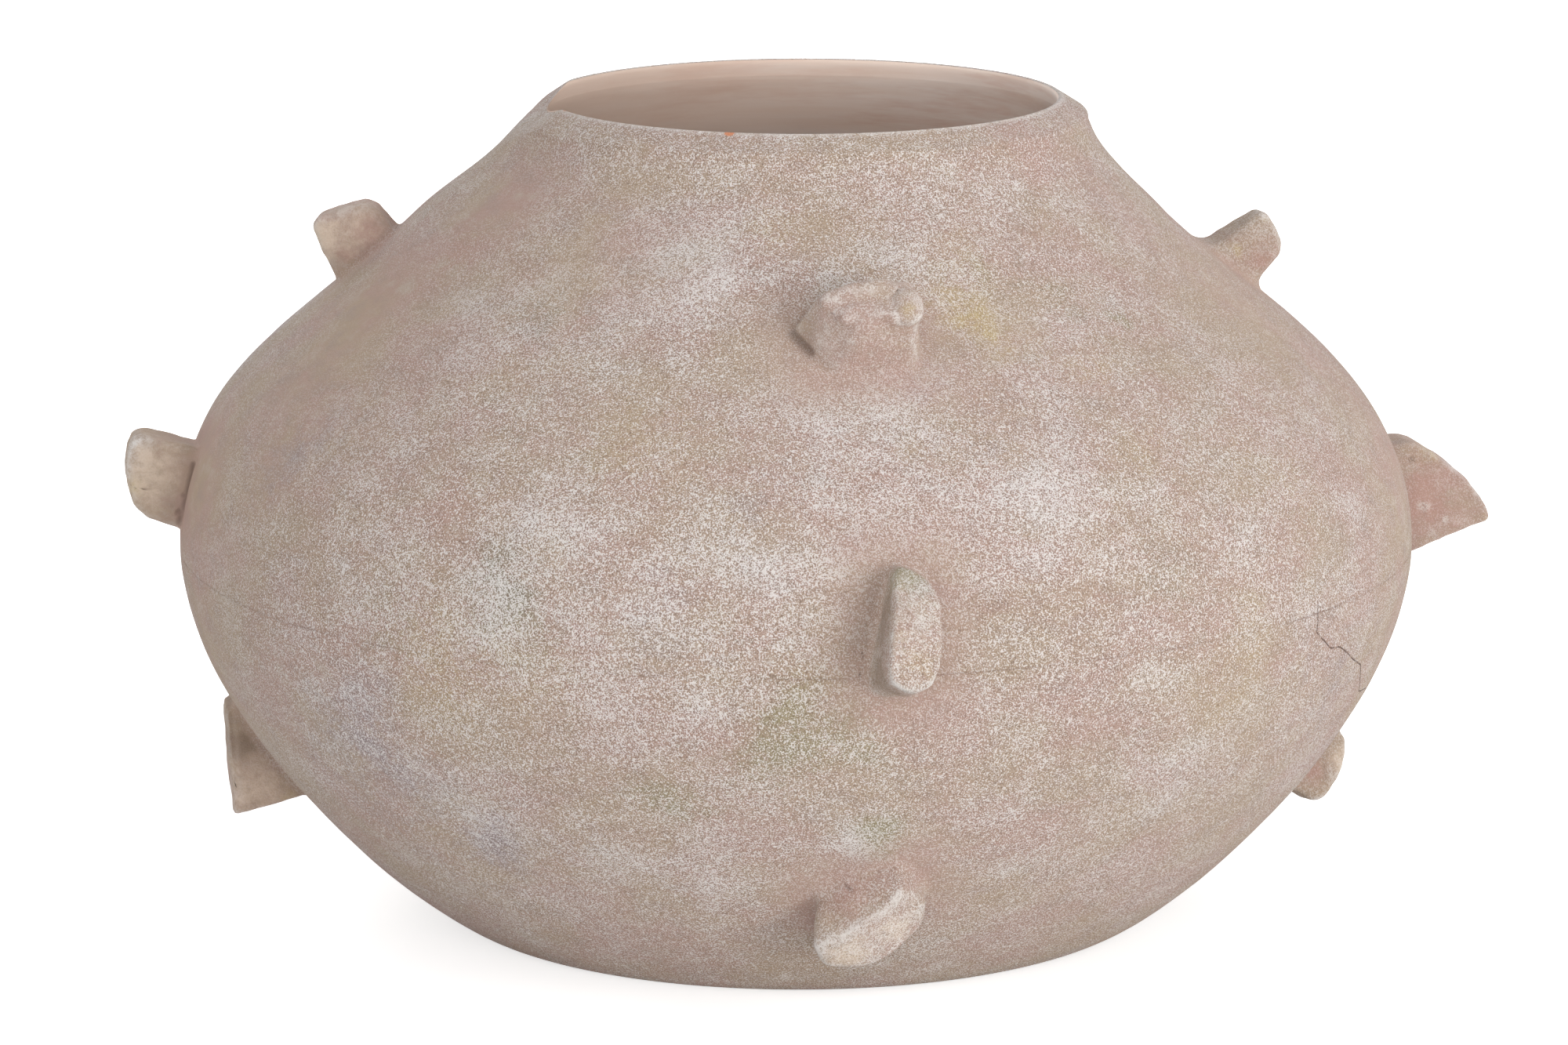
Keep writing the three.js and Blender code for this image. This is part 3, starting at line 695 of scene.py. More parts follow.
def free_end(stud, along):
    """How far out the free end lies at a distance along the stud: a slope with its crown on it."""
    low, high = (f(x for x, _ in stud["end"]) for f in (min, max))
    share = np.clip((along - low) / (high - low), 0, 1)
    low_reach, high_reach = stud["reach"]
    return low_reach + (high_reach - low_reach) * share + 4 * stud["crown"] * share * (1 - share)


def outline_at(stud, share):
    """Corners of a stud's outline at a share of the way out, last axis (along, across)."""
    root, end = (turned_left(stud[name]) for name in ("root", "end"))
    return root + (end - root) * np.asarray(share)[..., None, None]


def middle_of(corners):
    return (corners.min(axis=0) + corners.max(axis=0)) / 2


def turned_left(corners):
    """Corners as an array, in the order that keeps the inside on the left."""
    corners = np.array(corners, float)
    x, z = corners.T
    area = x @ np.roll(z, -1) - z @ np.roll(x, -1)
    return corners if area > 0 else corners[::-1]


def slab(places, stud, seed):
    """Distance to the surface of a hand-cut slab, below 0 inside it."""
    x, y, z = places.T
    corners = outline_at(stud, np.clip(y / max(stud["reach"]), *SIDES_RUN_ON))
    faces = []
    for k in range(corners.shape[1]):
        start, stop = corners[:, k - 1], corners[:, k]
        way = stop - start
        way /= np.linalg.norm(way, axis=1)[:, None]
        faces.append((x - start[:, 0]) * way[:, 1] - (z - start[:, 1]) * way[:, 0])
    plan = within(faces, stud["corner"])
    slope = free_end(stud, x + 0.5) - free_end(stud, x - 0.5)
    end = (y - free_end(stud, x)) / np.sqrt(1 + slope * slope)
    body = within([plan, end], stud["edge"])
    for line, radius in stud.get("coils", []):
        body = blend_low(body, line_distance(places, line) - radius, COIL_BLEND)
    for number, (size, amount) in enumerate(CLAY_LUMPS):
        body += amount * lumps(places, size, seed + number)
    for line, width, depth in stud.get("marks", []) + stud.get("cracks", []):
        body += depth * fading(line_distance(places, line), width)
    return body


class Wall:
    """The finished outside of both bowls, to measure from."""

    def __init__(self, walls):
        places, faces = [], []
        for wall in walls:
            first = len(places)
            places += [v.co / MM for v in wall.data.vertices]
            faces += [[first + i for i in p.vertices] for p in wall.data.polygons]
        self.tree = BVHTree.FromPolygons(places, faces)

    def measure(self, places):
        """Signed distance of each place from the wall, and the way out of the wall there."""
        near = [self.tree.find_nearest(Vector(p)) for p in places]
        out = np.array([n[1] for n in near])
        return np.einsum("ij,ij->i", places - np.array([n[0] for n in near]), out), out


def settle(places, stud, seed, middle, rows, wall):
    """Moves places in the stud's frame onto the surface of the stud smeared onto the wall."""
    for _ in range(SETTLE_ROUNDS):
        height, out = wall.measure(places @ rows + middle)
        out = out @ rows.T
        value = blend_low(slab(places, stud, seed), height, stud["smear"])
        slope = []
        for way in np.eye(3):
            nudged = slab(places + NUDGE * way, stud, seed)
            nudged = blend_low(nudged, height + NUDGE * out @ way, stud["smear"])
            slope.append((nudged - value) / NUDGE)
        slope = np.stack(slope, axis=1)
        size = np.clip((slope ** 2).sum(axis=1), FLATTEST, None)
        step = -(value / size)[:, None] * slope
        length = np.linalg.norm(step, axis=1)[:, None]
        places = places + step * np.minimum(1, LONGEST_STEP / np.maximum(length, 1e-9))
    return places


def ring_round(corners, count):
    """Evenly spaced places round an outline."""
    closed = np.vstack([corners, corners[:1]])
    length = np.append(0, np.cumsum(np.linalg.norm(np.diff(closed, axis=0), axis=1)))
    stops = np.linspace(0, length[-1], count, endpoint=False)
    return np.column_stack([np.interp(stops, length, closed[:, axis]) for axis in (0, 1)])


def stud_rings(stud):
    """Rings of places round a slab, from its smeared skirt up its sides and over its end."""
    root, end = outline_at(stud, 0), outline_at(stud, 1)
    reach = max(stud["reach"])
    foot = ring_round(root, STUD_AROUND)
    way = foot - middle_of(root)
    way /= np.linalg.norm(way, axis=1)[:, None]
    skirt = stud["smear"] + SKIRT_HIDDEN
    rings = []
    for out in np.linspace(skirt, STUD_SPACING, round(skirt / STUD_SPACING)):
        ring = foot + out * way
        rings.append(np.column_stack([ring[:, 0], np.zeros(STUD_AROUND), ring[:, 1]]))
    rim = ring_round(end, STUD_AROUND)
    top = free_end(stud, rim[:, 0])
    for share in np.linspace(FIRST_RING, 1, round(reach / STUD_SPACING)):
        ring = foot + (rim - foot) * (share * top / reach)[:, None]
        rings.append(np.column_stack([ring[:, 0], share * top, ring[:, 1]]))
    for share in np.linspace(1, 0, round(np.ptp(end[:, 1]) / 2 / STUD_SPACING) + 1)[1:-1]:
        ring = middle_of(end) + (rim - middle_of(end)) * share
        rings.append(np.column_stack([ring[:, 0], free_end(stud, ring[:, 0]), ring[:, 1]]))
    return rings


def ring_faces(count):
    """Faces of a stud: between its rings, over its tip, and down to and over its hidden back."""
    faces = []
    tip = count * STUD_AROUND
    back_middle = tip + 1 + STUD_AROUND
    for i in range(STUD_AROUND):
        j = (i + 1) % STUD_AROUND
        for low in range(0, tip - STUD_AROUND, STUD_AROUND):
            faces.append((low + i, low + STUD_AROUND + i, low + STUD_AROUND + j, low + j))
        last = tip - STUD_AROUND
        faces.append((last + i, tip, last + j))
        faces.append((tip + 1 + i, i, j, tip + 1 + j))
        faces.append((tip + 1 + i, tip + 1 + j, back_middle))
    return faces


def cut_stud(name, seed, wall, material):
    """One stud as a closed mesh whose skirt runs out into the wall."""
    stud = STUDS[name]
    middle, rows = stud_frame(name)
    rings = stud_rings(stud)
    count = len(rings)
    places = settle(np.vstack(rings + [rings[-1].mean(axis=0)]), stud, seed, middle, rows, wall)

    # The outermost rings dive under the wall, and a hidden back closes the piece
    world = places @ rows + middle
    height, out = wall.measure(world)
    ring_number = np.append(np.repeat(np.arange(count), STUD_AROUND), count)
    dive = np.clip(1 - ring_number / round(SKIRT_HIDDEN / STUD_SPACING), 0, 1)
    world -= out * (SKIRT_DIVE * dive)[:, None]
    back = world[:STUD_AROUND] - out[:STUD_AROUND] * SUNK
    everything = np.vstack([world, back, back.mean(axis=0) - rows[1]])

    mesh = bpy.data.meshes.new("cut_" + name)
    mesh.from_pydata((everything * MM).tolist(), [], ring_faces(count))
    mesh.polygons.foreach_set("use_smooth", [True] * len(mesh.polygons))
    mesh.materials.append(material)
    piece = bpy.data.objects.new("cut_" + name, mesh)
    bpy.context.scene.collection.objects.link(piece)
    height = np.append(height, np.full(STUD_AROUND + 1, -SUNK))
    colour_stud(mesh, stud, (everything - middle) @ rows.T, everything, rows, height)
    return piece


# How a stud is coloured. Its own look starts a little over the wall and grows over a height. Its end
# is limed and its sides are pink. Its dabs wander: how finely, how far and the seed. Lime was wiped
# off the pink dabs, and is kept off the dark brown dabs, which are painted shade. An edge is worn where
# the surface faces between the slab's own ways. Cracks are coloured wider than they are cut, because
# their dents move the surface off their lines, and their dark colour also paints the shade in the
# crevices round the studs' roots
OWN_LOOK_START, OWN_LOOK_GROWS = 0.4, 3
END_LIME, SIDE_ROSE = 0.25, 0.12
DAB_WANDER = (3.5, 1.8, 31)
PAINTED_SHADE_UNLIMED, ROSE_WIPED = 0.8, 0.5
WORN_EDGE, WORN_EDGE_GROWS = 0.96, 0.2
CRACK_SHADE = 1.7


def colour_stud(mesh, stud, local, world, rows, height):
    """Stores where a stud shows each colour, with its dark brown painted shade, its worn edges, and its
    cracks with the shade painted into their crevices. Its skirt looks like the wall."""
    normals = np.empty(len(local) * 3, np.float32)
    mesh.vertices.foreach_get("normal", normals)
    normals = normals.reshape(-1, 3) @ rows.T
    grown = np.clip((height - OWN_LOOK_START) / OWN_LOOK_GROWS, 0, 1)
    facing = np.clip(normals[:, 1], 0, 1)
    own = {name: np.zeros(len(local)) for name in [*COLOURS, "smeared"]}
    own["rose"] = SIDE_ROSE * (1 - facing)
    own["lime"] = END_LIME * facing
    astray = local + wander(local, *DAB_WANDER)
    for name, dabs in stud["dabs"].items():
        for spot, size, amount in dabs:
            own[name] = np.maximum(own[name], amount * fading(line_distance(astray, spot), size))
    # Lime grain is kept off the dark brown painted shade, and wiped off the pink dabs
    dabbed = np.maximum(PAINTED_SHADE_UNLIMED * own["shade_brown"], ROSE_WIPED * own["rose"])
    own["wiped"] = 1 - stud["grain"] * (1 - dabbed)
    around = wall_look(world)
    for name, strength in own.items():
        store(mesh, name, strength * grown + around.get(name, 0) * (1 - grown))
    worn = (WORN_EDGE - np.abs(normals).max(axis=1)) / WORN_EDGE_GROWS
    store(mesh, "worn_edge", np.clip(worn, 0, 1) * grown)
    # Dark cracks, whose colour also paints the shade in the crevices along them
    crack_and_crevice_shade = [np.zeros(len(local))]
    crack_and_crevice_shade += [fading(line_distance(local, line), CRACK_SHADE * width)
                for line, width, _ in stud.get("cracks", [])]
    store(mesh, "crack_and_crevice_shade", np.max(crack_and_crevice_shade, axis=0))


# Soft tints on the wall: degrees from the front, height, how wide and how strong. Calm spots are
# nearly free of lime
TINTS = {
    "ochre": [(20, 223, 9, 0.8), (24, 219, 12, 1.0), (28, 214, 12, 0.9), (33, 208, 12, 0.8),
              (25, 209, 10, 0.7), (-31, 117, 24, 0.5), (54, 167, 18, 0.4), (37, 182, 16, 0.4),
              (-8, 243, 12, 0.4)],
    "lime": [(-19, 230, 20, 0.9), (12, 236, 14, 0.9), (6, 196, 20, 0.6), (-20, 157, 16, 0.5),
             (39, 75, 18, 0.5), (-44, 214, 18, 0.4), (23, 170, 20, 0.8), (-3, 151, 20, 0.8),
             (3, 67, 12, 0.9), (-15, 120, 24, 0.5), (-14, 141, 16, 0.6), (4, 222, 12, 0.5),
             (14, 180, 18, 0.5), (-24, 132, 18, 0.4), (-34, 70, 20, 0.5), (-20, 56, 18, 0.5),
             (-8, 66, 18, 0.6), (-40, 90, 18, 0.3), (-10, 44, 16, 0.5)],
    "sage": [(-24, 136, 20, 1.0), (38, 145, 18, 0.4), (-36, 221, 14, 0.5), (8, 150, 12, 0.5),
             (-28, 185, 16, 0.3)],
    "lilac": [(-43, 84, 24, 0.8), (-11, 136, 18, 0.5), (20, 190, 20, 0.3), (-32, 64, 18, 0.9),
              (58, 144, 22, 0.5), (-55, 175, 20, 0.5), (60, 105, 25, 0.5), (14, 204, 14, 0.5),
              (-2, 176, 16, 0.4), (-50, 70, 20, 0.5)],
    "olive": [(7, 68, 11, 1.0), (-1, 104, 22, 0.8), (-10, 80, 13, 0.8), (20, 232, 7, 0.6),
              (26, 229, 8, 0.9), (32, 225, 8, 0.9), (38, 220, 8, 0.8), (45, 212, 9, 0.7),
              (4, 98, 14, 0.7), (30, 92, 12, 0.4), (-18, 176, 14, 0.4), (-40, 122, 16, 0.4)],
    "rose": [(52, 255, 18, 0.7), (10, 204, 16, 0.35), (-32, 162, 20, 0.6), (-25, 99, 16, 0.5),
             (9, 253, 20, 0.5), (13, 159, 14, 0.5), (26, 98, 16, 0.5), (-58, 222, 20, 0.6),
             (46, 236, 18, 0.5), (0, 40, 22, 0.5)],
    "buff": [(-15, 185, 26, 0.7), (-55, 201, 24, 0.4), (-2, 240, 20, 0.5), (55, 193, 22, 0.5),
             (-10, 51, 20, 0.4), (30, 160, 20, 0.4), (48, 180, 20, 0.6), (40, 105, 26, 0.7),
             (-22, 120, 22, 0.8), (-36, 108, 18, 0.7), (24, 236, 18, 0.7), (44, 120, 22, 0.7),
             (-32, 200, 22, 0.6), (-14, 212, 14, 0.6), (2, 116, 18, 0.6), (56, 150, 20, 0.6)],
    "calm": [(-66, 205, 46, 1.0), (-74, 150, 44, 1.0), (-60, 180, 36, 0.7), (-36, 235, 26, 0.4),
             (-75, 100, 34, 0.7), (82, 150, 40, 0.7), (76, 205, 40, 0.7), (26, 214, 18, 0.5),
             (-62, 240, 26, 0.9), (80, 95, 32, 0.6)],
}
# The brown is painted shade, dabbed on the studs' shaded flanks and next to their roots
COLOURS = {
    "ochre": "#B8A474", "lime": "#B6ACA5", "sage": "#827E69", "lilac": "#96898A", "olive": "#918968",
    "rose": "#B08E82", "buff": "#B29E82", "cream": "#D1BFAC", "shade_brown": "#83705F",
}

# How much of the clay a tint hides, and a lime one
TINT_COVER, LIME_FILM = 0.8, 0.3
# The tints' edges wander: how finely, how far and the seed
TINT_WANDER = [(34, 12, 41), (12, 6, 44)]
# Tints at the rear: how many, and the limits of their angle, height, size and strength
REAR_TINTS = 64
REAR_LIMITS = [(86, 274), (35, 250), (12, 25), (0.3, 1)]
TINT_SEED = 20
# Clay smeared out round each stud: how far along the wall and through it, and how much lime it lost
SMEAR_REACH, SMEAR_DEPTH, SMEAR_WIPED = 11, 14, 0.5
# Chips along the lip, where bare fired clay shows: place and size
RIM_CHIPS = [(-72, -34, 2.2), (-20.6, -80.4, 1.7)]
# Lime on the top of the lip: how far down it starts, and over what height it grows
LIP_LIME_DROP, LIP_LIME_GROWS = 1.1, 0.8
# Hairline crack: angle and height
CRACK = [(54, 123), (54, 117), (57, 110), (59, 109), (63, 102), (66, 98), (70, 86), (74, 84)]
CRACK_ENDS_OVER = 3


def wall_place(angle, height):
    """Place on the outside of the wall, from degrees round it and a height."""
    radius = np.interp(height, OUTSIDE[:, 1], OUTSIDE[:, 0])
    turn = math.radians(angle)
    return np.array([radius * math.sin(turn), -radius * math.cos(turn), height])


def all_tints():
    """The tints of the side that was seen, and others like them round the rest of the wall."""
    random = np.random.default_rng(TINT_SEED)
    tints = {name: list(spots) for name, spots in TINTS.items()}
    names = list(tints)
    for _ in range(REAR_TINTS):
        spot = tuple(random.uniform(*limits) for limits in REAR_LIMITS)
        tints[names[random.integers(len(names))]].append(spot)
    return tints


def wall_look(places):
    """How strong each tint is at places on the wall, where studs were smeared on, and how bare it was
    wiped."""
    astray = places + sum(wander(places, *waver) for waver in TINT_WANDER)
    look = {}
    for name, spots in all_tints().items():
        look[name] = np.zeros(len(places))
        for angle, height, size, amount in spots:
            away_by = np.linalg.norm(astray - wall_place(angle, height), axis=1)
            look[name] = np.maximum(look[name], amount * fading(away_by, size))
    look["smeared"] = np.zeros(len(places))
    for name, stud in STUDS.items():
        middle, rows = stud_frame(name)
        local = (places - middle) @ rows.T
        corners = np.array(stud["root"], float)
        gap = np.abs(local[:, [0, 2]] - middle_of(corners)) - np.ptp(corners, axis=0) / 2
        near = fading(np.linalg.norm(np.clip(gap, 0, None), axis=1), SMEAR_REACH)
        look["smeared"] = np.maximum(look["smeared"], near * (np.abs(local[:, 1]) < SMEAR_DEPTH))
    look["wiped"] = SMEAR_WIPED * look["smeared"] + look.pop("calm")
    return look


def colour_wall(mesh):
    """Stores the wall's tints, its seam, its chips, its crack and the limed top of its lip."""
    places = corners_of(mesh)
    for name, strength in wall_look(places).items():
        store(mesh, name, strength)
    turn = np.arctan2(places[:, 0], -places[:, 1])
    seam = SEAM_HEIGHT + SEAM_WAVE * (1 - np.cos(2 * turn + math.radians(2 * SEAM_WAVE_TURN)))
    store(mesh, "over_seam", places[:, 2] - seam)
    chipped = np.zeros(len(places))
    for x, y, size in RIM_CHIPS:
        away_by = np.linalg.norm(places[:, :2] - (x, y), axis=1)
        chipped = np.maximum(chipped, fading(away_by, size) * (places[:, 2] > LIP_ZONE))
    store(mesh, "chipped", chipped)
    limed = (places[:, 2] - VASE_HEIGHT + LIP_LIME_DROP) / LIP_LIME_GROWS
    store(mesh, "limed_lip", np.clip(limed, 0, 1))
    side, near = crack_side(places)
    store(mesh, "crack_side", side)
    store(mesh, "crack_near", near)


def crack_side(places):
    """Signed distance across the crack, and 1 near it falling to 0 past its ends."""
    line = np.array([wall_place(*spot) for spot in CRACK])
    nearest, side = np.full(len(places), 1e9), np.full(len(places), 1e9)
    for start, end in zip(line[:-1], line[1:]):
        way = end - start
        across = np.cross(way, [start[0], start[1], 0])
        across /= np.linalg.norm(across)
        share = np.clip((places - start) @ way / (way @ way), 0, 1)
        away_by = np.linalg.norm(places - start - share[:, None] * way, axis=1)
        closer = away_by < nearest
        side[closer] = ((places - start) @ across)[closer]
        nearest = np.minimum(nearest, away_by)
    return side, np.clip(1.5 - nearest / CRACK_ENDS_OVER, 0, 1)


# Materials. A coat is a pair: how much it covers, and its colour

STUD_MARKS = ["worn_edge", "crack_and_crevice_shade"]
BOWL_MARKS = ["inside", "chipped", "limed_lip", "over_seam", "crack_side", "crack_near"]


def coated(put, ground, coats):
    """The colour of a ground with its coats over it."""
    colour = linear(ground)
    for share, shade in coats:
        shade = linear(shade) if isinstance(shade, str) else shade
        colour = put(MIX, {0: share, 6: colour, 7: shade}, 2, data_type="RGBA")
    return colour


def clay_clouds(put, brushed, patches):
    """Clay body: pink and buff in soft clouds, broken by smaller ones."""
    buff = put(NOISE, {"Vector": brushed, "Scale": per_metre(38), "Detail": 5.0, "Roughness": 0.62})
    buff = put(RANGE, {"Value": buff, "From Min": 0.36, "From Max": 0.64}, interpolation_type="SMOOTHSTEP")
    greyed = put(RANGE, {"Value": patches, "From Min": 0.48, "From Max": 0.72, "To Max": 0.7})
    paler = put(RANGE, {"Value": patches, "From Min": 0.46, "From Max": 0.28, "To Max": 0.8})
    return [(buff, "#AA9682"), (greyed, "#A08E83"), (paler, "#B1A092")]


def earth_tints(put, stored, ragged):
    """Soft tints, each with a broken edge, among them the dark brown painted shade on the studs, and
    the pink clay smeared out round the studs.
    """
    coats = []
    for tint, shade in COLOURS.items():
        share = put(MATH, {0: ragged, 1: stored[tint]}, operation="ADD")
        share = put(RANGE, {"Value": share, "From Min": 0.1, "From Max": 1.1, "To Max": 1.6}, clamp=False)
        share = put(MATH, {0: share, 1: stored[tint]}, operation="MULTIPLY", use_clamp=True)
        cover = LIME_FILM if tint == "lime" else TINT_COVER
        coats.append((put(MATH, {0: share, 1: cover}, operation="MULTIPLY"), shade))
    smeared = put(MATH, {0: stored["smeared"], 1: 0.34}, operation="MULTIPLY")
    return coats + [(smeared, "#AF9288")]


def lime_slip(put, stored, place, brushed, patches):
    """Coats of lime slip, and the height of its curls and grains. It lies in broken patches, and hardly
    at all where it was wiped: a thin film, with grains dark and pale, and curls where it dried thick.
    Curls are about as large as the real ones. Grains of half a millimetre are coarser than most real
    ones, which would be too fine to show."""
    thick = put(NOISE, {"Vector": brushed, "Scale": per_metre(24), "Detail": 5.0, "Roughness": 0.7})
    limed = put(MATH, {0: stored["lime"], 1: patches}, operation="MULTIPLY")
    thick = put(MATH, {0: limed, 1: 0.6, 2: thick}, operation="MULTIPLY_ADD")
    thick = put(MATH, {0: stored["sage"], 1: 0.12, 2: thick}, operation="MULTIPLY_ADD")
    left = put(MATH, {0: 1.0, 1: stored["wiped"]}, operation="SUBTRACT", use_clamp=True)
    film = put(RANGE, {"Value": thick, "From Min": 0.52, "From Max": 0.8, "To Max": 0.12})
    film = put(MATH, {0: film, 1: left}, operation="MULTIPLY")

    # Curls follow the middle line of a bent noise
    swirl = put(NOISE, {"Vector": place, "Scale": per_metre(0.9), "Detail": 1.0}, "Color")
    swirl = put(VECTOR, {0: swirl, "Scale": 0.5 * MM}, operation="SCALE")
    bent = put(VECTOR, {0: place, 1: swirl}, operation="ADD")
    curls = put(NOISE, {"Vector": bent, "Scale": per_metre(0.85), "Detail": 0.0})
    curls = put(MATH, {0: curls, 1: 0.5}, operation="SUBTRACT")
    curls = put(MATH, {0: curls}, operation="ABSOLUTE")
    curls = put(RANGE, {"Value": curls, "From Min": 0.11, "From Max": 0.04})
    broken = put(NOISE, {"Vector": place, "Scale": per_metre(1.3), "Detail": 1.0})
    broken = put(MATH, {0: thick, 1: 0.55, 2: broken}, operation="MULTIPLY_ADD")
    broken = put(RANGE, {"Value": broken, "From Min": 0.83, "From Max": 0.93})
    curls = put(MATH, {0: curls, 1: broken}, operation="MULTIPLY")

    grains = put(NOISE, {"Vector": bent, "Scale": per_metre(0.45), "Detail": 0.0})
    light = put(MATH, {0: thick, 1: 0.25, 2: grains}, operation="MULTIPLY_ADD")
    light = put(RANGE, {"Value": light, "From Min": 0.67, "From Max": 0.8})
    curls = put(MATH, {0: curls, 1: light}, operation="MAXIMUM")
    curls = put(MATH, {0: curls, 1: left}, operation="MULTIPLY")
    dark = put(RANGE, {"Value": grains, "From Min": 0.45, "From Max": 0.2})
    dark = put(MATH, {0: dark, 1: left}, operation="MULTIPLY")
    dark = put(MATH, {0: dark, 1: 0.64}, operation="MULTIPLY")
    pale = put(MATH, {0: curls, 1: 0.82}, operation="MULTIPLY")
    return [(film, "#C3BBB5"), (dark, "#6E5D52"), (pale, "#DED9D6")], curls, grains


def stud_wear(put, stored, flecks, grains):
    """Coats of a stud: edges rubbed pale and lime left thick in dabs, then cracks and joints dark,
    which also paints the shade in the crevices where the studs meet the wall.
    """
    rubbed = put(RANGE, {"Value": flecks, "From Min": 0.35, "From Max": 0.6})
    rubbed = put(MATH, {0: stored["worn_edge"], 1: rubbed}, operation="MULTIPLY")
    strength = put(MATH, {0: stored["lime"], 1: 0.5, 2: 0.12}, operation="MULTIPLY_ADD")
    rubbed = put(MATH, {0: rubbed, 1: strength}, operation="MULTIPLY")
    limed = put(MATH, {0: stored["lime"], 1: 2.2}, operation="POWER")
    broken = put(MATH, {0: flecks, 1: grains}, operation="ADD")
    broken = put(RANGE, {"Value": broken, "From Min": 0.8, "From Max": 1.15, "To Min": 0.1, "To Max": 0.8})
    rubbed = put(MATH, {0: limed, 1: broken, 2: rubbed}, operation="MULTIPLY_ADD", use_clamp=True)
    # Painted shade: cracks and the crevices at the studs' roots are coloured dark, along with the real
    # dark joints
    crevice_shade = put(RANGE, {"Value": stored["crack_and_crevice_shade"], "From Min": 0.25, "From Max": 0.9, "To Max": 0.75})
    return [(rubbed, "#D2CBC5"), (crevice_shade, "#5A463A")]


def bowl_marks(put, stored, place, flecks):
    """Coats of the bowls outside: their seam, the hairline crack and the limed lip."""
    # Seam: a fine brown line where the two bowls were luted, smeared over in places
    waver = put(NOISE, {"Vector": place, "Scale": per_metre(14), "Detail": 2.0})
    waver = put(MATH, {0: waver, 1: 1.2, 2: -0.6}, operation="MULTIPLY_ADD")
    seam = put(MATH, {0: stored["over_seam"], 1: waver}, operation="ADD")
    seam = put(MATH, {0: seam}, operation="ABSOLUTE")
    seam = put(RANGE, {"Value": seam, "From Min": 0.45, "From Max": 0.1, "To Max": 0.35})
    shown = put(NOISE, {"Vector": place, "Scale": per_metre(22), "Detail": 1.0})
    shown = put(RANGE, {"Value": shown, "From Min": 0.45, "From Max": 0.62})
    seam = put(MATH, {0: seam, 1: shown}, operation="MULTIPLY")

    # Crack: a dark hairline that opened while the clay dried
    waver = put(NOISE, {"Vector": place, "Scale": per_metre(4), "Detail": 2.0})
    waver = put(MATH, {0: waver, 1: 0.7, 2: -0.35}, operation="MULTIPLY_ADD")
    crack = put(MATH, {0: stored["crack_side"], 1: waver}, operation="ADD")
    crack = put(MATH, {0: crack}, operation="ABSOLUTE")
    crack = put(RANGE, {"Value": crack, "From Min": 0.36, "From Max": 0.1, "To Max": 0.95})
    crack = put(MATH, {0: crack, 1: stored["crack_near"]}, operation="MULTIPLY")
    shown = put(RANGE, {"Value": flecks, "From Min": 0.3, "From Max": 0.5})
    crack = put(MATH, {0: crack, 1: shown}, operation="MULTIPLY")

    # Lip: rubbed with lime along its top
    limed = put(RANGE, {"Value": flecks, "From Min": 0.3, "From Max": 0.55, "To Max": 0.55})
    limed = put(MATH, {0: limed, 1: stored["limed_lip"]}, operation="MULTIPLY")
    return [(seam, "#7A5D50"), (crack, "#553F34"), (limed, "#DAD4D0")]


def bare_inside(put, stored, place):
    """Inside of the bowls: bare clay wiped smooth with a wet hand, in level streaks, without lime.
    Its colour is far paler than the clay outside, which is painted light in the dim hollow, and darker
    towards the left. Returns where it shows, its colour and its streaks."""
    inside = put(RANGE, {"Value": stored["inside"], "From Min": 0.35, "From Max": 0.65})
    level = put(VECTOR, {0: place, 1: (0.07, 0.07, 1)}, operation="MULTIPLY")
    streaks = put(NOISE, {"Vector": level, "Scale": per_metre(5), "Detail": 4.0, "Roughness": 0.6})
    pale = put(RANGE, {"Value": streaks, "From Min": 0.3, "From Max": 0.7})
    reddish = put(VECTOR, {0: level, 1: (1, 1, 0.5)}, operation="MULTIPLY")
    reddish = put(NOISE, {"Vector": reddish, "Scale": per_metre(4), "Detail": 4.0, "Roughness": 0.7})
    reddish = put(RANGE, {"Value": reddish, "From Min": 0.48, "From Max": 0.72, "To Max": 0.6})
    across = put("ShaderNodeSeparateXYZ", {0: place})
    # The inside is coloured darker towards the left
    darker_to_left = put(RANGE, {"Value": across, "From Min": 40 * MM, "From Max": -80 * MM, "To Max": 0.85})
    # Painted light: the inside's ground and streaks are far paler than the clay, to light the dim hollow
    painted_lit_inside = coated(put, "#F0DCCD", [(pale, "#F8EBE1"), (reddish, "#DDB7A3"), (darker_to_left, "#CDB4A2")])
    return inside, painted_lit_inside, streaks


def rim_chips(put, stored, ragged):
    """Coat of bare fired clay in the chips of the lip."""
    chips = put(MATH, {0: ragged, 1: 0.4, 2: stored["chipped"]}, operation="MULTIPLY_ADD")
    chips = put(RANGE, {"Value": chips, "From Min": 0.4, "From Max": 0.6})
    near = put(MATH, {0: stored["chipped"], 1: 4.0}, operation="MULTIPLY", use_clamp=True)
    return [(put(MATH, {0: chips, 1: near}, operation="MULTIPLY"), "#CC8A68")]


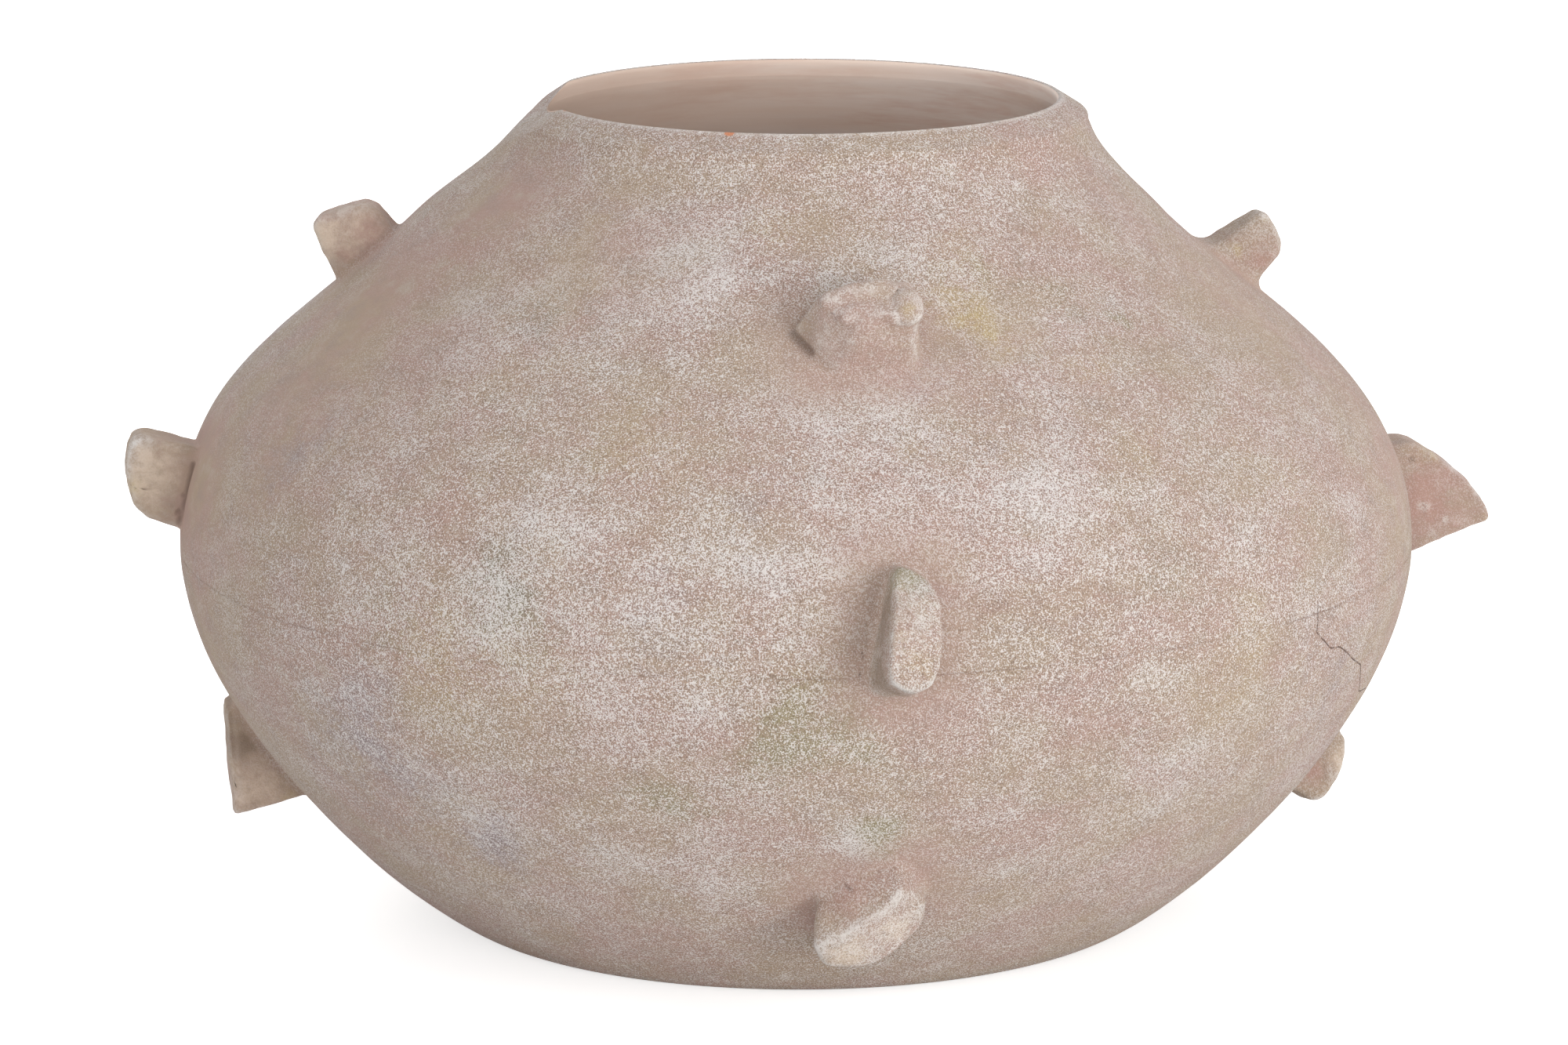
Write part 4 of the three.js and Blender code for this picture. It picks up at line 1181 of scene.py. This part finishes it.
def clay_look(name, is_stud):
    """Lime-washed terracotta: low-fired pink clay, brushed over with thin lime slip that dried in
    fine curly strokes. To the eye it is dead matt and chalky, blotched in soft earth colours, with
    a fine pale grain that stands a little proud of the clay."""
    material = bpy.data.materials.new(name)
    material.use_nodes = True
    tree = material.node_tree
    tree.nodes.clear()
    put = partial(add, tree)
    names = [*COLOURS, "smeared", "wiped", *(STUD_MARKS if is_stud else BOWL_MARKS)]
    stored = {name: put("ShaderNodeAttribute", output="Fac", attribute_name=name) for name in names}
    place = put("ShaderNodeTexCoord", output="Object")
    brushed = put(VECTOR, {0: place, 1: (1, 1, 1.6)}, operation="MULTIPLY")
    patches = put(NOISE, {"Vector": brushed, "Scale": per_metre(11), "Detail": 4.0, "Roughness": 0.65})
    flecks = put(NOISE, {"Vector": place, "Scale": per_metre(2.6), "Detail": 3.0, "Roughness": 0.65})
    ragged = put(MATH, {0: patches, 1: flecks}, operation="ADD")
    ragged = put(MATH, {0: ragged, 1: 1.6, 2: -1.6}, operation="MULTIPLY_ADD")

    lime, curls, grains = lime_slip(put, stored, place, brushed, patches)
    coats = clay_clouds(put, brushed, patches) + earth_tints(put, stored, ragged) + lime
    relief = 0.0
    for height, amount in ((curls, 0.12), (grains, 0.12), (flecks, 0.25), (patches, 0.5)):
        relief = put(MATH, {0: height, 1: amount, 2: relief}, operation="MULTIPLY_ADD")
    if is_stud:
        coats += stud_wear(put, stored, flecks, grains)
    else:
        # The inside's colour holds painted light
        inside, painted_lit_inside, streaks = bare_inside(put, stored, place)
        coats += bowl_marks(put, stored, place, flecks) + [(inside, painted_lit_inside)] + rim_chips(put, stored, ragged)
        smooth = put(MATH, {0: streaks, 1: 0.2}, operation="MULTIPLY")
        relief = put(MIX, {0: inside, 2: relief, 3: smooth}, data_type="FLOAT")
    bump = put("ShaderNodeBump", {"Height": relief, "Strength": 1.0, "Distance": MM})
    clay = put("ShaderNodeBsdfPrincipled", {
        "Base Color": coated(put, "#AC9185", coats), "Normal": bump, "Roughness": 0.92,
        "Specular IOR Level": 0.25, "IOR": 1.5, "Diffuse Roughness": 0.6})
    put("ShaderNodeOutputMaterial", {"Surface": clay})
    return material


# Camera and studio. The camera looks at a place on the axis, which the photograph shows at a pixel

PHOTO_SIZE = (2000, 1333)
CAMERA_DISTANCE = 2300
CAMERA_RISE = 11.7
CAMERA_AIM = 134
CAMERA_SEES_TO = 50
PIXELS_PER_MM = 3.916
AIM_PIXEL = (1015.1, 640.5)
SENSOR = 36

# Soft square lamps, in metres: place, how high on the axis each is aimed, its size and its power
LAMPS = {
    "window_right": ((2.1, -1.7, 1.3), 0.14, 1.4, 21),
    "front_bounce": ((0.1, -2.7, 0.72), 0.2, 1.0, 18),
    "front_low": ((1.2, -1.9, 0.15), 0.05, 1.0, 24),
    "room_left": ((-2.2, -1.5, 0.95), 0.14, 1.4, 9.5),
    "room_behind": ((-0.5, 2.7, 1.2), 0.14, 1.6, 38),
    "ceiling_bounce": ((0.1, -1.0, 2.3), 0.2, 1.2, 6),
}
ROOM_LIGHT = 0.5
FLOOR_HALF = 8
FLOOR_GLOW = 0.64


def set_camera():
    camera = bpy.data.objects.new("camera", bpy.data.cameras.new("camera"))
    bpy.context.scene.collection.objects.link(camera)
    rise = math.radians(CAMERA_RISE)
    aim = Vector((0, 0, CAMERA_AIM)) * MM
    back = Vector((0, -math.cos(rise), math.sin(rise)))
    camera.location = aim + back * CAMERA_DISTANCE * MM
    camera.rotation_euler = (-back).to_track_quat("-Z", "Y").to_euler()
    width, height = PHOTO_SIZE
    camera.data.sensor_width = SENSOR
    camera.data.lens = PIXELS_PER_MM * CAMERA_DISTANCE * SENSOR / width
    camera.data.shift_x = (width / 2 - AIM_PIXEL[0]) / width
    camera.data.shift_y = (AIM_PIXEL[1] - height / 2) / width
    camera.data.clip_end = CAMERA_SEES_TO
    bpy.context.scene.camera = camera


def add_lamp(name, place, aim_height, size, power):
    lamp = bpy.data.lights.new(name, "AREA")
    lamp.shape = "SQUARE"
    lamp.size = size
    lamp.energy = power
    holder = bpy.data.objects.new(name, lamp)
    bpy.context.scene.collection.objects.link(holder)
    holder.location = place
    aim = Vector((0, 0, aim_height))
    holder.rotation_euler = (aim - Vector(place)).to_track_quat("-Z", "Y").to_euler()
    holder.visible_camera = False


def seen_directly(put):
    """1 for what the camera, a reflection or a clear material shows, and 0 for light on the object."""
    rays = put("ShaderNodeLightPath").node.outputs
    shown = put(MATH, {0: rays["Is Camera Ray"], 1: rays["Is Glossy Ray"]}, operation="MAXIMUM")
    return put(MATH, {0: shown, 1: rays["Is Transmission Ray"]}, operation="MAXIMUM")


def white_room():
    """Light of a white room from all round, which is seen as plain white."""
    world = bpy.data.worlds.new("soft_white_room")
    bpy.context.scene.world = world
    world.use_nodes = True
    world.node_tree.nodes.clear()
    put = partial(add, world.node_tree)
    ambient = put("ShaderNodeBackground", {"Color": linear("#F0F4FB"), "Strength": ROOM_LIGHT})
    white = put("ShaderNodeBackground", {"Color": linear("#FFFFFF"), "Strength": 1.0})
    both = put("ShaderNodeMixShader", {0: seen_directly(put), 1: ambient, 2: white})
    put("ShaderNodeOutputWorld", {"Surface": both})


def matt_white_paper():
    """Matt white paper roll: its own glow, seen by the camera alone, lifts it to white round a shadow."""
    paper = bpy.data.materials.new("matt_white_paper")
    paper.use_nodes = True
    paper.node_tree.nodes.clear()
    put = partial(add, paper.node_tree)
    matt = put("ShaderNodeBsdfDiffuse", {"Color": linear("#ECEBE9")})
    glow = put(MATH, {0: seen_directly(put), 1: FLOOR_GLOW}, operation="MULTIPLY")
    glow = put("ShaderNodeEmission", {"Strength": glow})
    put("ShaderNodeOutputMaterial", {"Surface": put("ShaderNodeAddShader", {0: matt, 1: glow})})
    return paper


def pale_floor():
    mesh = bpy.data.meshes.new("pale_floor")
    half = FLOOR_HALF
    corners = [(-half, -half, 0), (half, -half, 0), (half, half, 0), (-half, half, 0)]
    mesh.from_pydata(corners, [], [(0, 1, 2, 3)])
    mesh.materials.append(matt_white_paper())
    floor = bpy.data.objects.new("pale_floor", mesh)
    bpy.context.scene.collection.objects.link(floor)


set_camera()
white_room()
for name, lamp in LAMPS.items():
    add_lamp(name, *lamp)
pale_floor()

wall_clay = clay_look("lime_washed_terracotta", is_stud=False)
stud_clay = clay_look("finger_cut_terracotta", is_stud=True)
tree = turned_clay_wall()
bowl = turn_wall("turned_lower_bowl", lower_section(), False, tree, wall_clay)
shell = turn_wall("turned_upper_shell", upper_section(), True, tree, wall_clay)
for piece, node in ((bowl, "lower_bowl"), (shell, "upper_shell")):
    colour_wall(piece.data)
    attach(piece, "root")
    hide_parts(node)

wall = Wall([bowl, shell])
for number, name in enumerate(STUDS):
    stud = cut_stud(name, STUD_SEED + len(CLAY_LUMPS) * number, wall, stud_clay)
    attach(stud, "root")
    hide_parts(name)

scene = bpy.context.scene
scene.view_settings.view_transform = "Standard"
